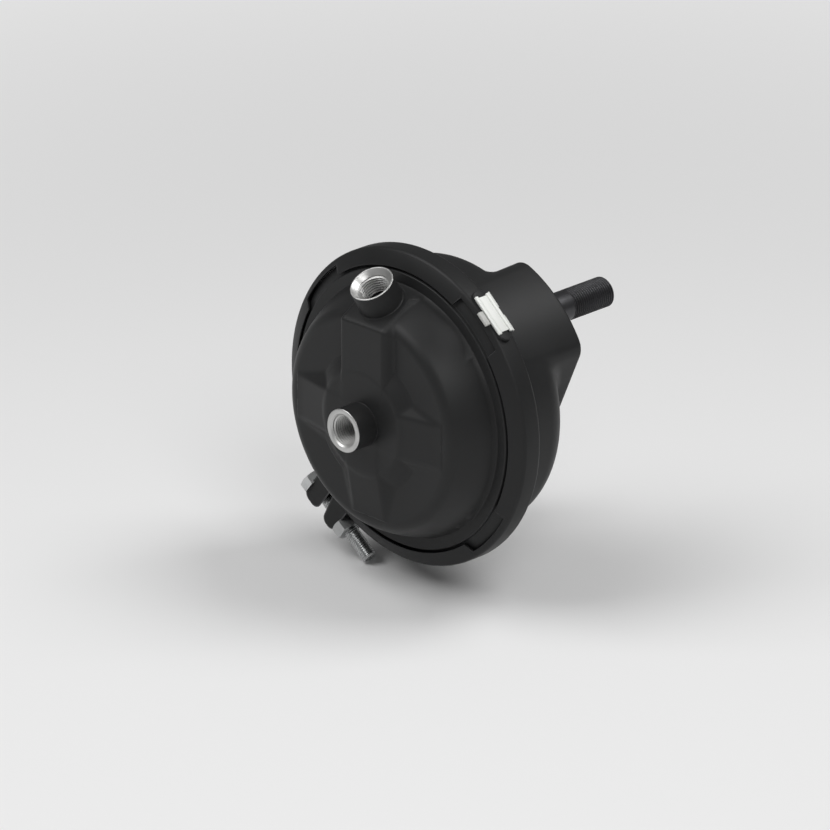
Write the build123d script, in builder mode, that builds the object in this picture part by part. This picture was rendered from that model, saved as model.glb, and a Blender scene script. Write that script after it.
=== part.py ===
"""Air brake chamber for a disc brake: two housings held by a clamp band, with a
diaphragm, a pressure plate on a push rod, a return spring and a dust boot.

Frame: +Y runs along the push rod from the pressure side to the mounting side, +Z is
up, and the origin is the centre of the mounting face. Units are millimetres.
"""
from build123d import *
from math import atan2, cos, degrees, pi, radians, sin, sqrt, tan
import os

# ---- Driving dimensions: overall ------------------------------------------------
chamber_depth = 104.0        # from the face of the centre port to the mounting face
split_depth = 54.2           # from the diaphragm's middle plane to the mounting face
clock_angle = 49.0           # studs, label and clamp bolt lie on this line, from +X to +Z
stroke = 57.0                # travel of the push rod
seat_gap = 0.15              # between pieces that seat on each other

# ---- Pressure housing -----------------------------------------------------------
dome_wall = 3.5
plateau_radius = 27.0        # raised disc round the centre port
port_boss_height = 13.0      # centre boss above the plateau
pocket_depth = 5.2           # pocket floors below the plateau
pocket_slope = 58.5          # pocket walls, from the axis
dome_run = 14.7              # from the foot of the dome in to where its face rounds over
shoulder_radius = 8.0
shoulder_turn = 58.0         # where the round hands over to the flank
rib_half_width = 11.1
pad_half_width = 15.0        # flat pad that carries the upper port
pad_slope = 27.0             # side walls of the pad, from the axis
base_setback = 7.6           # foot of the dome inside the band's lips
base_height = 9.8            # foot of the dome before the diaphragm plane

# ---- Ports ----------------------------------------------------------------------
boss_radius = 11.4
boss_chamfer = 0.5
port_bore_radius = 7.2       # minor radius of the M16 x 1.5 thread
port_thread_depth = 14.0
passage_radius = 4.0
spigot_radius = 8.6
spigot_depth = 3.0
countersink_angle = 90.0
centre_countersink_radius = 8.1
upper_countersink_radius = 10.6
upper_port_tilt = 60.0       # axis of the upper port, from the centre port's axis
upper_port_rise = 6.4        # centre of its face above the foot of the dome
upper_port_setback = 20.1    # centre of its face behind the centre port's face
upper_boss_height = 13.8     # upper boss above the pad's leaning face

# ---- Rear housing ---------------------------------------------------------------
bowl_setback = 2.7           # wall of the bowl inside the band's lips
bowl_wall = 3.5
bowl_shoulder_radius = 14.0
bowl_back_depth = 14.5       # back of the bowl before the mounting face
lug_margin = 12.675          # mounting flange beyond the studs' axes
lug_proud = 1.5              # ends of the mounting flange beyond the bowl
lug_taper = 17.5             # each side of the flange, against the stud line
lug_corner_radius = 10.0
lug_draft = 2.0
lug_length = 31.0
lug_blend = 8.0              # between the mounting flange and the bowl
lug_land = 0.5               # flat back left between the blend and the shoulder
mount_plate = 8.0            # thickness of the mounting flange
aperture_radius = 26.0

# ---- Clamp band -----------------------------------------------------------------
band_thickness = 2.2
band_half_width = 5.25
band_edge = 1.5
lip_depth = 8.8              # lips inside the crest
lip_angle = 27.0             # lips, from the diaphragm plane
flange_clearance = 1.3       # rims of the housings inside the crest
notch_half_angle = 12.0
notch_land = 3.8             # crest left at the notches
notch_corner = 1.5
band_gap = 4.0
clamp_angle = 229.5          # clamp bolt's place, from +X to +Z
ear_height = 15.6            # ears beyond the crest
head_ear_thickness = 9.4
nut_ear_thickness = 10.4
ear_lean = 11.0              # face of the nut's ear at the gap
ear_corner = 3.2
bolt_standoff = 9.9          # bolt's axis beyond the crest
bolt_lean = 2.6              # bolt's axis, against the gap's square

# ---- Clamp bolt (M8) ------------------------------------------------------------
bolt_radius = 4.0
bolt_hole_clearance = 0.3
bolt_head_height = 5.3
bolt_reach = 36.6            # tip of the bolt from the middle of the band's gap
hex_across_flats = 13.0
nut_height = 6.5
bolt_chamfer = 0.9

# ---- Label ----------------------------------------------------------------------
label_pad_length = 30.0
label_pad_width = 9.0
label_pad_height = 1.0
label_length = 22.7
label_width = 9.5
label_thickness = 1.4
label_recess = 0.6
label_rail = 1.7
label_tab_length = 7.7

# ---- Mounting studs (M16 x 1.5) -------------------------------------------------
stud_spacing = 120.65
stud_radius = 8.0
stud_seat_radius = 9.0       # serrated seat of the stud in the mounting flange
stud_reach = 42.0
stud_head_height = 7.0
stud_head_radial = 19.0
stud_head_tangential = 26.0
stud_head_corner = 3.0
stud_chamfer = 1.5

# ---- Moving parts ---------------------------------------------------------------
rod_radius = 8.0
rod_reach = 15.0             # rod tip beyond the mounting face at rest
plate_margin = 3.9           # pressure plate inside the dome's flat floor
plate_thickness = 3.0
plate_rim_height = 4.0
hub_radius = 15.0
hub_height = 7.0
collar_height = 5.0
diaphragm_thickness = 2.4
rubber_gap = 0.5
spring_wire_radius = 2.0
spring_small_radius = 21.0
spring_clearance = 9.5       # between the housing's pocket and the largest coil
spring_turns = 5.0
boot_thickness = 1.2
boot_folds = 4
boot_inner_fold = 13.0
boot_outer_fold = 21.0
boot_rim_depth = 4.0         # rim of the boot before the mounting face
groove_depth = 1.5
ring_width = 2.0
ring_height = 2.0
seat_thickness = 2.0
seal_radius = 33.0
seal_section = 3.0

# ---- Vents ----------------------------------------------------------------------
vent_angles = (159.0, 199.0)
drain_angle = 269.0
vent_radius = 4.0
vent_depth = 36.0            # vents before the mounting face
plug_flange = 1.8
plug_proud = 1.6
plug_seat = 0.3

# ---- Radii, outwards from the studs ---------------------------------------------
lug_end_radius = stud_spacing / 2 + lug_margin
bowl_radius = lug_end_radius - lug_proud
lug_half_width = bowl_radius - bowl_shoulder_radius - lug_blend - lug_land
pocket_radius = lug_half_width - bowl_wall
spring_large_radius = pocket_radius - spring_clearance
lip_radius = bowl_radius + bowl_setback
band_radius = lip_radius + lip_depth
notch_radius = band_radius - notch_land
flange_radius = band_radius - band_thickness - flange_clearance
bolt_circle = band_radius + bolt_standoff
base_radius = lip_radius - base_setback
floor_radius = base_radius - dome_run
plate_radius = floor_radius - plate_margin
upper_port_height = base_radius + upper_port_rise

# ---- Places along the axis ------------------------------------------------------
port_face_y = -chamber_depth
plateau_y = port_face_y + port_boss_height
floor_y = plateau_y + pocket_depth
split_y = -split_depth
base_y = split_y - base_height
bowl_back_y = -bowl_back_depth
inner_floor_y = -mount_plate
dome_inside_y = floor_y + dome_wall
boot_rim_y = -boot_rim_depth
boot_groove_y = boot_rim_y - stroke / 2


def face_plane(y, turn=0.0):
    """Plane across the axis at y, drawn in X and Z and turned about the axis."""
    a = radians(turn)
    return Plane(origin=(0, y, 0), x_dir=(cos(a), 0, sin(a)), z_dir=(0, -1, 0))


def radial_plane(angle, radius, y):
    """Plane that looks outwards: local x along the axis, local y round it."""
    a = radians(angle)
    return Plane(
        origin=(radius * cos(a), y, radius * sin(a)),
        x_dir=(0, 1, 0),
        z_dir=(cos(a), 0, sin(a)),
    )


def lip_face(radius, inset=0.0):
    """Distance of a lip's face from the diaphragm plane, inset from its outside."""
    outside = band_half_width + (band_radius - radius) * tan(radians(lip_angle))
    return outside - inset / cos(radians(lip_angle))


def shoulder_point(inset, turn):
    """Point on the dome's round shoulder, inset from the outside."""
    reach = shoulder_radius - inset
    a = radians(turn)
    return (floor_radius + reach * sin(a), floor_y + shoulder_radius - reach * cos(a))


def dome_edges(inset, end):
    """Half profile of the dome from the axis to a point at its foot."""
    mid = shoulder_point(inset, shoulder_turn / 2)
    turn = radians(shoulder_turn)
    Line((0, floor_y + inset), shoulder_point(inset, 0))
    ThreePointArc(shoulder_point(inset, 0), mid, shoulder_point(inset, shoulder_turn))
    TangentArc(
        shoulder_point(inset, shoulder_turn), end, tangent=(cos(turn), sin(turn))
    )


flange_inset = band_thickness + seat_gap
flange_face_rim = lip_face(flange_radius, flange_inset)
flange_face_root = lip_face(lip_radius, flange_inset)
rim_gap = diaphragm_thickness / 2
dome_foot = (base_radius, base_y)
dome_inner_foot = (base_radius - dome_wall, split_y - rim_gap)
pocket_run = tan(radians(pocket_slope))
pad_run = tan(radians(pad_slope))
rib_start = sqrt(plateau_radius**2 - rib_half_width**2)
rib_fall = pocket_depth / (floor_radius - rib_start)
rib_depth = 1.2 * pocket_depth
rib_foot = rib_half_width + rib_depth * pocket_run

# ---- Upper port's axis ----------------------------------------------------------
upper_port_centre = Vector(0, port_face_y + upper_port_setback, upper_port_height)
tilt = radians(upper_port_tilt)
upper_port_plane = Plane(
    origin=upper_port_centre, x_dir=(1, 0, 0), z_dir=(0, -cos(tilt), sin(tilt))
)
seat_level = upper_port_centre.dot(upper_port_plane.z_dir) - upper_boss_height
pad_reach = (seat_level + plateau_y * cos(tilt)) / sin(tilt)
pad_back_y = split_y - flange_face_root
pad_back_z = pad_reach + (pad_back_y - plateau_y) / tan(tilt)
pad_outline = (
    (plateau_y, 0),
    (plateau_y, pad_reach),
    (pad_back_y, pad_back_z),
    (pad_back_y, 0),
)
centre_port_seat = face_plane(plateau_y)
upper_port_seat = upper_port_plane.offset(-upper_boss_height)

with BuildPart() as pressure_housing:
    with BuildSketch(Plane.XY):
        with BuildLine():
            dome_edges(0, dome_foot)
            Polyline(
                dome_foot,
                (base_radius + 1.0, base_y + 1.2),
                (lip_radius, split_y - flange_face_root),
                (flange_radius, split_y - flange_face_rim),
                (flange_radius, split_y - rim_gap),
                (0, split_y - rim_gap),
                (0, floor_y),
            )
        make_face()
    revolve(axis=Axis.Y)
    # Plateau round the centre port.
    with BuildSketch(face_plane(floor_y)):
        Circle(plateau_radius + pocket_depth * pocket_run)
    extrude(amount=pocket_depth, taper=pocket_slope)
    # Three ribs that fall from the plateau to the shoulder.
    for side in (0, 180, 270):
        out = Vector(cos(radians(side)), 0, sin(radians(side)))
        rib_line = Plane(
            origin=out * rib_start + Vector(0, plateau_y, 0),
            x_dir=(-out.Z, 0, out.X),
            z_dir=out + Vector(0, rib_fall, 0),
        )
        with BuildSketch(rib_line):
            with BuildLine():
                deep = rib_depth if rib_line.y_dir.Y > 0 else -rib_depth
                Polyline(
                    (-rib_half_width, 0),
                    (rib_half_width, 0),
                    (rib_foot, deep),
                    (-rib_foot, deep),
                    close=True,
                )
            make_face()
        extrude(amount=floor_radius - rib_start + shoulder_radius / 4)
    # Flat pad for the upper port: level with the plateau, then leaning back.
    with BuildSketch(Plane.YZ):
        Polygon(*pad_outline, align=None)
    extrude(amount=pad_half_width, both=True)
    with BuildSketch(Plane.YZ.offset(pad_half_width)):
        Polygon(*pad_outline, align=None)
    pad_side = extrude(amount=pocket_depth * pad_run, taper=90 - pad_slope)
    mirror(pad_side, about=Plane.YZ)
    # Inside of the dome, and the seats of the two ports.
    with BuildSketch(Plane.XY):
        with BuildLine():
            dome_edges(dome_wall, dome_inner_foot)
            Polyline(dome_inner_foot, (0, split_y - rim_gap), (0, dome_inside_y))
        make_face()
    revolve(axis=Axis.Y, mode=Mode.SUBTRACT)
    with Locations(centre_port_seat):
        CounterBoreHole(passage_radius, spigot_radius + seat_gap, spigot_depth)
    with Locations(upper_port_seat):
        Cylinder(
            boss_radius + seat_gap,
            upper_boss_height,
            align=(Align.CENTER, Align.CENTER, Align.MIN),
            mode=Mode.SUBTRACT,
        )
        CounterBoreHole(
            passage_radius,
            spigot_radius + seat_gap,
            spigot_depth,
            depth=3 * dome_wall,
        )
pressure_housing.part.label = "pressure_housing"


def port_boss(seat, height, countersink_radius):
    """Threaded boss on its seat: a collar, a spigot and a stepped bore."""
    with BuildPart(seat) as boss:
        Cylinder(boss_radius, height, align=(Align.CENTER, Align.CENTER, Align.MIN))
        Cylinder(
            spigot_radius, spigot_depth, align=(Align.CENTER, Align.CENTER, Align.MAX)
        )
        chamfer(boss.edges().sort_by(Axis(seat.origin, seat.z_dir))[-1], boss_chamfer)
        with Locations((0, 0, height)):
            Hole(passage_radius)
            CounterSinkHole(
                port_bore_radius,
                countersink_radius,
                depth=port_thread_depth,
                counter_sink_angle=countersink_angle,
            )
    return boss


port_boss_centre = port_boss(centre_port_seat, port_boss_height, centre_countersink_radius)
port_boss_centre.part.label = "port_boss_centre"
port_boss_upper = port_boss(upper_port_seat, upper_boss_height, upper_countersink_radius)
port_boss_upper.part.label = "port_boss_upper"

# ---- Rear housing ---------------------------------------------------------------
bowl_centre_r = bowl_radius - bowl_shoulder_radius
bowl_centre_y = bowl_back_y - bowl_shoulder_radius
bowl_inner_shoulder = bowl_shoulder_radius - bowl_wall
half_spacing = stud_spacing / 2


lug_reach = 1.2 * lug_end_radius
lug_narrow = lug_half_width - lug_reach * tan(radians(lug_taper))
lug_points = (
    (0, lug_half_width),
    (-lug_reach, lug_narrow),
    (-lug_reach, -lug_narrow),
    (0, -lug_half_width),
    (lug_reach, -lug_narrow),
    (lug_reach, lug_narrow),
)


def stud_head_sketch(clearance):
    """Heads of the two studs, flattened on the sides that face the housing wall."""
    with Locations((half_spacing, 0), (-half_spacing, 0)):
        RectangleRounded(
            stud_head_radial + 2 * clearance,
            stud_head_tangential + 2 * clearance,
            stud_head_corner + clearance,
        )


with BuildPart() as rear_housing:
    with BuildSketch(Plane.XY):
        with BuildLine():
            bowl_round = RadiusArc(
                (bowl_radius, bowl_centre_y),
                (bowl_centre_r, bowl_back_y),
                bowl_shoulder_radius,
            )
            Polyline(
                bowl_round @ 1,
                (0, bowl_back_y),
                (0, split_y + rim_gap),
                (flange_radius, split_y + rim_gap),
                (flange_radius, split_y + flange_face_rim),
                (lip_radius, split_y + flange_face_root),
                (bowl_radius, split_y + flange_face_root + 2.0),
                bowl_round @ 0,
            )
        make_face()
    revolve(axis=Axis.Y)
    with BuildSketch(face_plane(0, clock_angle)) as lug_sketch:
        Polygon(*lug_points, align=None)
        Circle(lug_end_radius, mode=Mode.INTERSECT)
        fillet(lug_sketch.vertices(), lug_corner_radius)
    bowl = rear_housing.part
    lug = extrude(amount=lug_length, taper=lug_draft)
    lug_foot = new_edges(bowl, lug, combined=rear_housing.part).group_by(Axis.Y)[-1]
    fillet(lug_foot, lug_blend)
    # Inside of the bowl, the flange's inner floor, the aperture and the stud seats.
    with BuildSketch(Plane.XY):
        with BuildLine():
            inside = RadiusArc(
                (bowl_radius - bowl_wall, bowl_centre_y),
                (bowl_centre_r, bowl_back_y - bowl_wall),
                bowl_inner_shoulder,
            )
            Polyline(
                inside @ 1,
                (pocket_radius, bowl_back_y - bowl_wall),
                (pocket_radius, inner_floor_y),
                (0, inner_floor_y),
                (0, split_y + rim_gap),
                (bowl_radius - bowl_wall, split_y + rim_gap),
                inside @ 0,
            )
        make_face()
    revolve(axis=Axis.Y, mode=Mode.SUBTRACT)
    with BuildSketch(face_plane(inner_floor_y, clock_angle)):
        stud_head_sketch(seat_gap)
    extrude(amount=bowl_wall + bowl_back_depth - mount_plate, mode=Mode.SUBTRACT)
    with Locations(face_plane(0, clock_angle)):
        Hole(aperture_radius, depth=mount_plate)
        with Locations((half_spacing, 0), (-half_spacing, 0)):
            Hole(stud_seat_radius, depth=mount_plate)
    # Seal groove in the mounting face.
    with BuildSketch(face_plane(0)):
        Circle(seal_radius + seal_section / 2 + seat_gap)
        Circle(seal_radius - seal_section / 2 - seat_gap, mode=Mode.SUBTRACT)
    extrude(amount=seal_section * 0.75, mode=Mode.SUBTRACT)
    # Vents in the wall of the bowl.
    for angle in (*vent_angles, drain_angle):
        with Locations(radial_plane(angle, bowl_radius, -vent_depth)):
            Hole(vent_radius, depth=2 * bowl_wall)
rear_housing.part.label = "rear_housing"

# ---- Clamp band -----------------------------------------------------------------
normal = radians(lip_angle)
lip_tip = (lip_radius, lip_face(lip_radius))
lip_inner_tip = (
    lip_radius + band_thickness * sin(normal),
    lip_face(lip_radius) - band_thickness * cos(normal),
)
crest_inside = band_radius - band_thickness
crest_corner = lip_face(crest_inside, band_thickness)


def ring_side(sign):
    """One side of the band's section, from the crest to the lip and back."""
    return [
        (band_radius, split_y + sign * band_half_width),
        (lip_tip[0], split_y + sign * lip_tip[1]),
        (lip_inner_tip[0], split_y + sign * lip_inner_tip[1]),
        (crest_inside, split_y + sign * crest_corner),
    ]


# The ears and the bolt share a plane across the axis, square to the bolt.
clamp_plane = face_plane(split_y, clamp_angle)
ear_plane = Plane(
    origin=clamp_plane.from_local_coords(Vector(bolt_circle, 0, 0)),
    x_dir=face_plane(split_y, clamp_angle + bolt_lean).x_dir,
    z_dir=clamp_plane.z_dir,
)
bolt_line = Plane(origin=ear_plane.origin, x_dir=(0, 1, 0), z_dir=ear_plane.y_dir)
ear_root = crest_inside - bolt_circle
ear_end = ear_height - bolt_standoff
head_ear_face = band_gap / 2 + head_ear_thickness
nut_ear_face = band_gap / 2 + nut_ear_thickness
ear_lean_run = (ear_end - ear_root) * tan(radians(ear_lean))
head_ear = (
    (ear_root, -head_ear_face),
    (ear_root, -band_gap / 2),
    (ear_end, -band_gap / 2),
    (ear_end, -head_ear_face),
)
nut_ear = (
    (ear_root, band_gap / 2),
    (ear_root, nut_ear_face),
    (ear_end, nut_ear_face),
    (ear_end, band_gap / 2 + ear_lean_run),
)

with BuildPart() as clamp_band:
    with BuildSketch(Plane.XY):
        Polygon(*ring_side(1), *reversed(ring_side(-1)), align=None)
    revolve(axis=Axis.Y)
    fillet(clamp_band.edges().filter_by(GeomType.CIRCLE).group_by(
        SortBy.RADIUS)[-1], band_edge)
    # Raised pad under the label.
    with BuildSketch(radial_plane(clock_angle, crest_inside, split_y)):
        SlotOverall(label_pad_length, label_pad_width, rotation=90)
    extrude(amount=band_thickness + label_pad_height)
    # Ears for the bolt, opposite the label.
    with BuildSketch(ear_plane):
        for outline in (head_ear, nut_ear):
            with BuildSketch(Plane.XY) as ear:
                Polygon(*outline, align=None)
                fillet(ear.vertices().sort_by(Axis.X)[-2:], ear_corner)
    extrude(amount=band_half_width, both=True)
    with BuildSketch(face_plane(split_y, clamp_angle)):
        with Locations((band_radius, 0)):
            Rectangle(4 * lip_depth, band_gap)
    extrude(amount=2 * lip_tip[1], both=True, mode=Mode.SUBTRACT)
    with Locations(bolt_line):
        Hole(bolt_radius + bolt_hole_clearance, depth=2 * nut_ear_thickness + band_gap)
    # Notches that let the lips spread over the flanges.
    for angle in (clock_angle, clock_angle + 90, clock_angle - 90):
        with BuildSketch(face_plane(split_y + lip_tip[1] + 1.0, angle)) as notch:
            Rectangle(
                notch_radius,
                2 * notch_radius * sin(radians(notch_half_angle)),
                align=(Align.MIN, Align.CENTER),
            )
            Circle(notch_radius, mode=Mode.INTERSECT)
            fillet(notch.vertices().sort_by(Axis.X)[-2:], notch_corner)
        extrude(amount=2 * lip_tip[1] + 2.0, mode=Mode.SUBTRACT)
clamp_band.part.label = "clamp_band"

with BuildPart() as clamp_bolt:
    with BuildSketch(bolt_line.offset(-head_ear_face)):
        RegularPolygon(hex_across_flats / 2, 6, major_radius=False)
    extrude(amount=-bolt_head_height)
    with BuildSketch(bolt_line.offset(-head_ear_face)):
        Circle(bolt_radius)
    extrude(amount=bolt_reach + head_ear_face)
    chamfer(
        clamp_bolt.edges().filter_by(GeomType.CIRCLE).sort_by(
            Axis(bolt_line.origin, bolt_line.z_dir))[-1],
        bolt_chamfer,
    )
clamp_bolt.part.label = "clamp_bolt"

with BuildPart() as clamp_nut:
    with BuildSketch(bolt_line.offset(nut_ear_face)):
        RegularPolygon(hex_across_flats / 2, 6, major_radius=False)
        Circle(bolt_radius + seat_gap / 2, mode=Mode.SUBTRACT)
    extrude(amount=nut_height)
clamp_nut.part.label = "clamp_nut"

# ---- Label ----------------------------------------------------------------------
label_plane = radial_plane(clock_angle, band_radius + label_pad_height, split_y)
with BuildPart() as label_holder:
    with BuildSketch(label_plane):
        Rectangle(label_width, label_length)
        with Locations((-label_width / 2, 0)):
            Rectangle(label_width / 2, label_tab_length)
    extrude(amount=label_thickness)
    with BuildSketch(label_plane.offset(label_thickness - label_recess)):
        Rectangle(label_width - 2 * label_rail, label_length + label_rail)
    extrude(amount=label_thickness, mode=Mode.SUBTRACT)
label_holder.part.label = "label_holder"

with BuildPart() as label_strip:
    with BuildSketch(label_plane.offset(label_thickness - label_recess)):
        Rectangle(label_width - 2 * label_rail - 2 * seat_gap, label_length - label_rail)
    extrude(amount=label_recess / 2)
label_strip.part.label = "label_strip"

# ---- Diaphragm, plate and rod ---------------------------------------------------
rubber_y = dome_inside_y + rubber_gap
plate_y = rubber_y + diaphragm_thickness
rubber_outer = base_radius - dome_wall - rubber_gap
with BuildPart() as diaphragm:
    with BuildSketch(Plane.XY):
        with BuildLine():
            sides = []
            for inset in (0, diaphragm_thickness):
                sides.append([
                    (0, rubber_y + inset),
                    (floor_radius - rubber_gap - inset / 2, rubber_y + inset),
                    (rubber_outer - shoulder_radius - inset,
                     rubber_y + shoulder_radius + inset / 2),
                    (rubber_outer - inset, split_y - rim_gap + inset),
                    (flange_radius - 0.5, split_y - rim_gap + inset),
                ])
            Polyline(*sides[0], *reversed(sides[1]), close=True)
        make_face()
    revolve(axis=Axis.Y)
diaphragm.part.label = "diaphragm"

with BuildPart() as pressure_plate:
    with BuildSketch(Plane.XY):
        Polygon(
            (rod_radius + seat_gap, plate_y),
            (plate_radius - plate_rim_height / 2, plate_y),
            (plate_radius, plate_y + plate_rim_height),
            (plate_radius - plate_thickness, plate_y + plate_rim_height),
            (plate_radius - plate_rim_height / 2 - plate_thickness,
             plate_y + plate_thickness),
            (hub_radius, plate_y + plate_thickness),
            (hub_radius, plate_y + hub_height),
            (rod_radius + seat_gap, plate_y + hub_height),
            align=None,
        )
    revolve(axis=Axis.Y)
pressure_plate.part.label = "pressure_plate"

with BuildPart() as push_rod:
    with BuildSketch(Plane.XY):
        with BuildLine():
            nose = ThreePointArc(
                (0, rod_reach),
                (rod_radius * sin(pi / 4), rod_reach - rod_radius * (1 - cos(pi / 4))),
                (rod_radius, rod_reach - rod_radius),
            )
            Polyline(
                nose @ 1,
                (rod_radius, boot_groove_y + boot_thickness / 2),
                (rod_radius - groove_depth, boot_groove_y + boot_thickness / 2),
                (rod_radius - groove_depth, boot_groove_y - boot_thickness / 2),
                (rod_radius, boot_groove_y - boot_thickness / 2),
                (rod_radius, plate_y),
                (0, plate_y),
                nose @ 0,
            )
        make_face()
    revolve(axis=Axis.Y)
push_rod.part.label = "push_rod"

with BuildPart() as rod_collar:
    with BuildSketch(Plane.XY):
        Polygon(
            (rod_radius + seat_gap / 2, plate_y + hub_height),
            (hub_radius, plate_y + hub_height),
            (hub_radius, plate_y + hub_height + collar_height / 2),
            (hub_radius - collar_height / 2, plate_y + hub_height + collar_height),
            (rod_radius + seat_gap / 2, plate_y + hub_height + collar_height),
            align=None,
        )
    revolve(axis=Axis.Y)
rod_collar.part.label = "rod_collar"

# ---- Return spring --------------------------------------------------------------
spring_start_y = plate_y + plate_thickness + spring_wire_radius
spring_end_y = inner_floor_y - seat_thickness - spring_wire_radius
spring_length = spring_end_y - spring_start_y
spring_cone = degrees(atan2(spring_large_radius - spring_small_radius, spring_length))
with BuildPart() as return_spring:
    with BuildLine():
        coil = Helix(
            pitch=spring_length / spring_turns,
            height=spring_length,
            radius=spring_small_radius,
            center=(0, spring_start_y, 0),
            direction=(0, 1, 0),
            cone_angle=spring_cone,
        )
    with BuildSketch(Plane(coil @ 0, z_dir=coil % 0)):
        RegularPolygon(spring_wire_radius, 6)
    sweep(is_frenet=True)
return_spring.part.label = "return_spring"

with BuildPart() as spring_seat:
    with BuildSketch(Plane.XY):
        Polygon(
            (aperture_radius, inner_floor_y),
            (spring_large_radius + 2 * spring_wire_radius, inner_floor_y),
            (spring_large_radius + 2 * spring_wire_radius,
             inner_floor_y - 2 * seat_thickness),
            (spring_large_radius + 2 * spring_wire_radius - seat_thickness,
             inner_floor_y - 2 * seat_thickness),
            (spring_large_radius + 2 * spring_wire_radius - seat_thickness,
             inner_floor_y - seat_thickness),
            (aperture_radius, inner_floor_y - seat_thickness),
            align=None,
        )
    revolve(axis=Axis.Y)
spring_seat.part.label = "spring_seat"

# ---- Dust boot and its rings ----------------------------------------------------
boot_outer = aperture_radius - seat_gap
boot_hold = rod_radius - groove_depth + seat_gap
with BuildPart() as boot:
    with BuildSketch(Plane.XY):
        fold = (boot_groove_y - boot_rim_y) / (2 * boot_folds)
        path = [(boot_outer - ring_width, boot_rim_y)]
        for step in range(1, 2 * boot_folds):
            radius = boot_inner_fold if step % 2 else boot_outer_fold
            path.append((radius, boot_rim_y + step * fold))
        path.append((rod_radius + seat_gap, boot_groove_y))
        outer = [(r, y - boot_thickness / 2) for r, y in path]
        inner = [(r, y + boot_thickness / 2) for r, y in path]
        Polygon(
            (boot_outer, boot_rim_y - boot_thickness / 2),
            *outer,
            (boot_hold, boot_groove_y - boot_thickness / 2),
            (boot_hold, boot_groove_y + boot_thickness / 2),
            *reversed(inner),
            (boot_outer, boot_rim_y + boot_thickness / 2),
            align=None,
        )
    revolve(axis=Axis.Y)
boot.part.label = "boot"


def plain_ring(inner_radius, outer_radius, low_y, high_y):
    """Flat-sided ring about the push rod's axis."""
    with BuildPart() as ring:
        with BuildSketch(Plane.XY):
            Polygon(
                (inner_radius, low_y),
                (outer_radius, low_y),
                (outer_radius, high_y),
                (inner_radius, high_y),
                align=None,
            )
        revolve(axis=Axis.Y)
    return ring


boot_clamp_ring = plain_ring(
    boot_outer - ring_width,
    boot_outer,
    boot_rim_y + boot_thickness / 2,
    boot_rim_y + boot_thickness / 2 + ring_height,
)
boot_clamp_ring.part.label = "boot_clamp_ring"
boot_rod_ring = plain_ring(
    rod_radius + seat_gap,
    rod_radius + ring_width,
    boot_groove_y - boot_thickness / 2 - ring_height,
    boot_groove_y - boot_thickness / 2,
)
boot_rod_ring.part.label = "boot_rod_ring"
face_seal = plain_ring(
    seal_radius - seal_section / 2,
    seal_radius + seal_section / 2,
    -seal_section * 0.75,
    0,
)
face_seal.part.label = "face_seal"

# ---- Studs and vent plugs -------------------------------------------------------


def mounting_stud(side):
    """Stud with a flat head inside the housing, on one side of the push rod."""
    place = face_plane(inner_floor_y, clock_angle)
    with BuildPart() as stud:
        with BuildSketch(place):
            with Locations((side * half_spacing, 0)):
                RectangleRounded(
                    stud_head_radial, stud_head_tangential, stud_head_corner
                )
        extrude(amount=stud_head_height)
        with BuildSketch(place):
            with Locations((side * half_spacing, 0)):
                Circle(stud_seat_radius - seat_gap)
        extrude(amount=-mount_plate)
        with BuildSketch(face_plane(0, clock_angle)):
            with Locations((side * half_spacing, 0)):
                Circle(stud_radius)
        extrude(amount=-stud_reach)
        chamfer(
            stud.edges().filter_by(GeomType.CIRCLE).sort_by(Axis.Y)[-1], stud_chamfer
        )
    return stud


mounting_stud_upper = mounting_stud(1)
mounting_stud_upper.part.label = "mounting_stud_upper"
mounting_stud_lower = mounting_stud(-1)
mounting_stud_lower.part.label = "mounting_stud_lower"

with BuildPart() as vent_plugs:
    for angle in vent_angles:
        with BuildSketch(radial_plane(angle, bowl_radius - bowl_wall, -vent_depth)):
            Circle(vent_radius - seat_gap)
        extrude(amount=bowl_wall + plug_proud)
        with BuildSketch(radial_plane(angle, bowl_radius + plug_seat, -vent_depth)):
            Circle(vent_radius + plug_flange)
        extrude(amount=plug_proud)
vent_plugs.part.label = "vent_plugs"

os.makedirs("parts", exist_ok=True)
for piece in (
    pressure_housing,
    port_boss_centre,
    port_boss_upper,
    rear_housing,
    clamp_band,
    clamp_bolt,
    clamp_nut,
    label_holder,
    label_strip,
    diaphragm,
    pressure_plate,
    push_rod,
    rod_collar,
    return_spring,
    spring_seat,
    boot,
    boot_clamp_ring,
    boot_rod_ring,
    face_seal,
    mounting_stud_upper,
    mounting_stud_lower,
    vent_plugs,
):
    export_step(piece.part, f"parts/{piece.part.label}.step")
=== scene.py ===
from cmath import exp, phase
from math import acos, atan2, cos, degrees, pi, radians, sin, sqrt, tan

import bmesh
import bpy
import numpy as np
from bpy.props import FloatProperty, FloatVectorProperty, IntProperty, PointerProperty
from mathutils import Matrix, Vector


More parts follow.
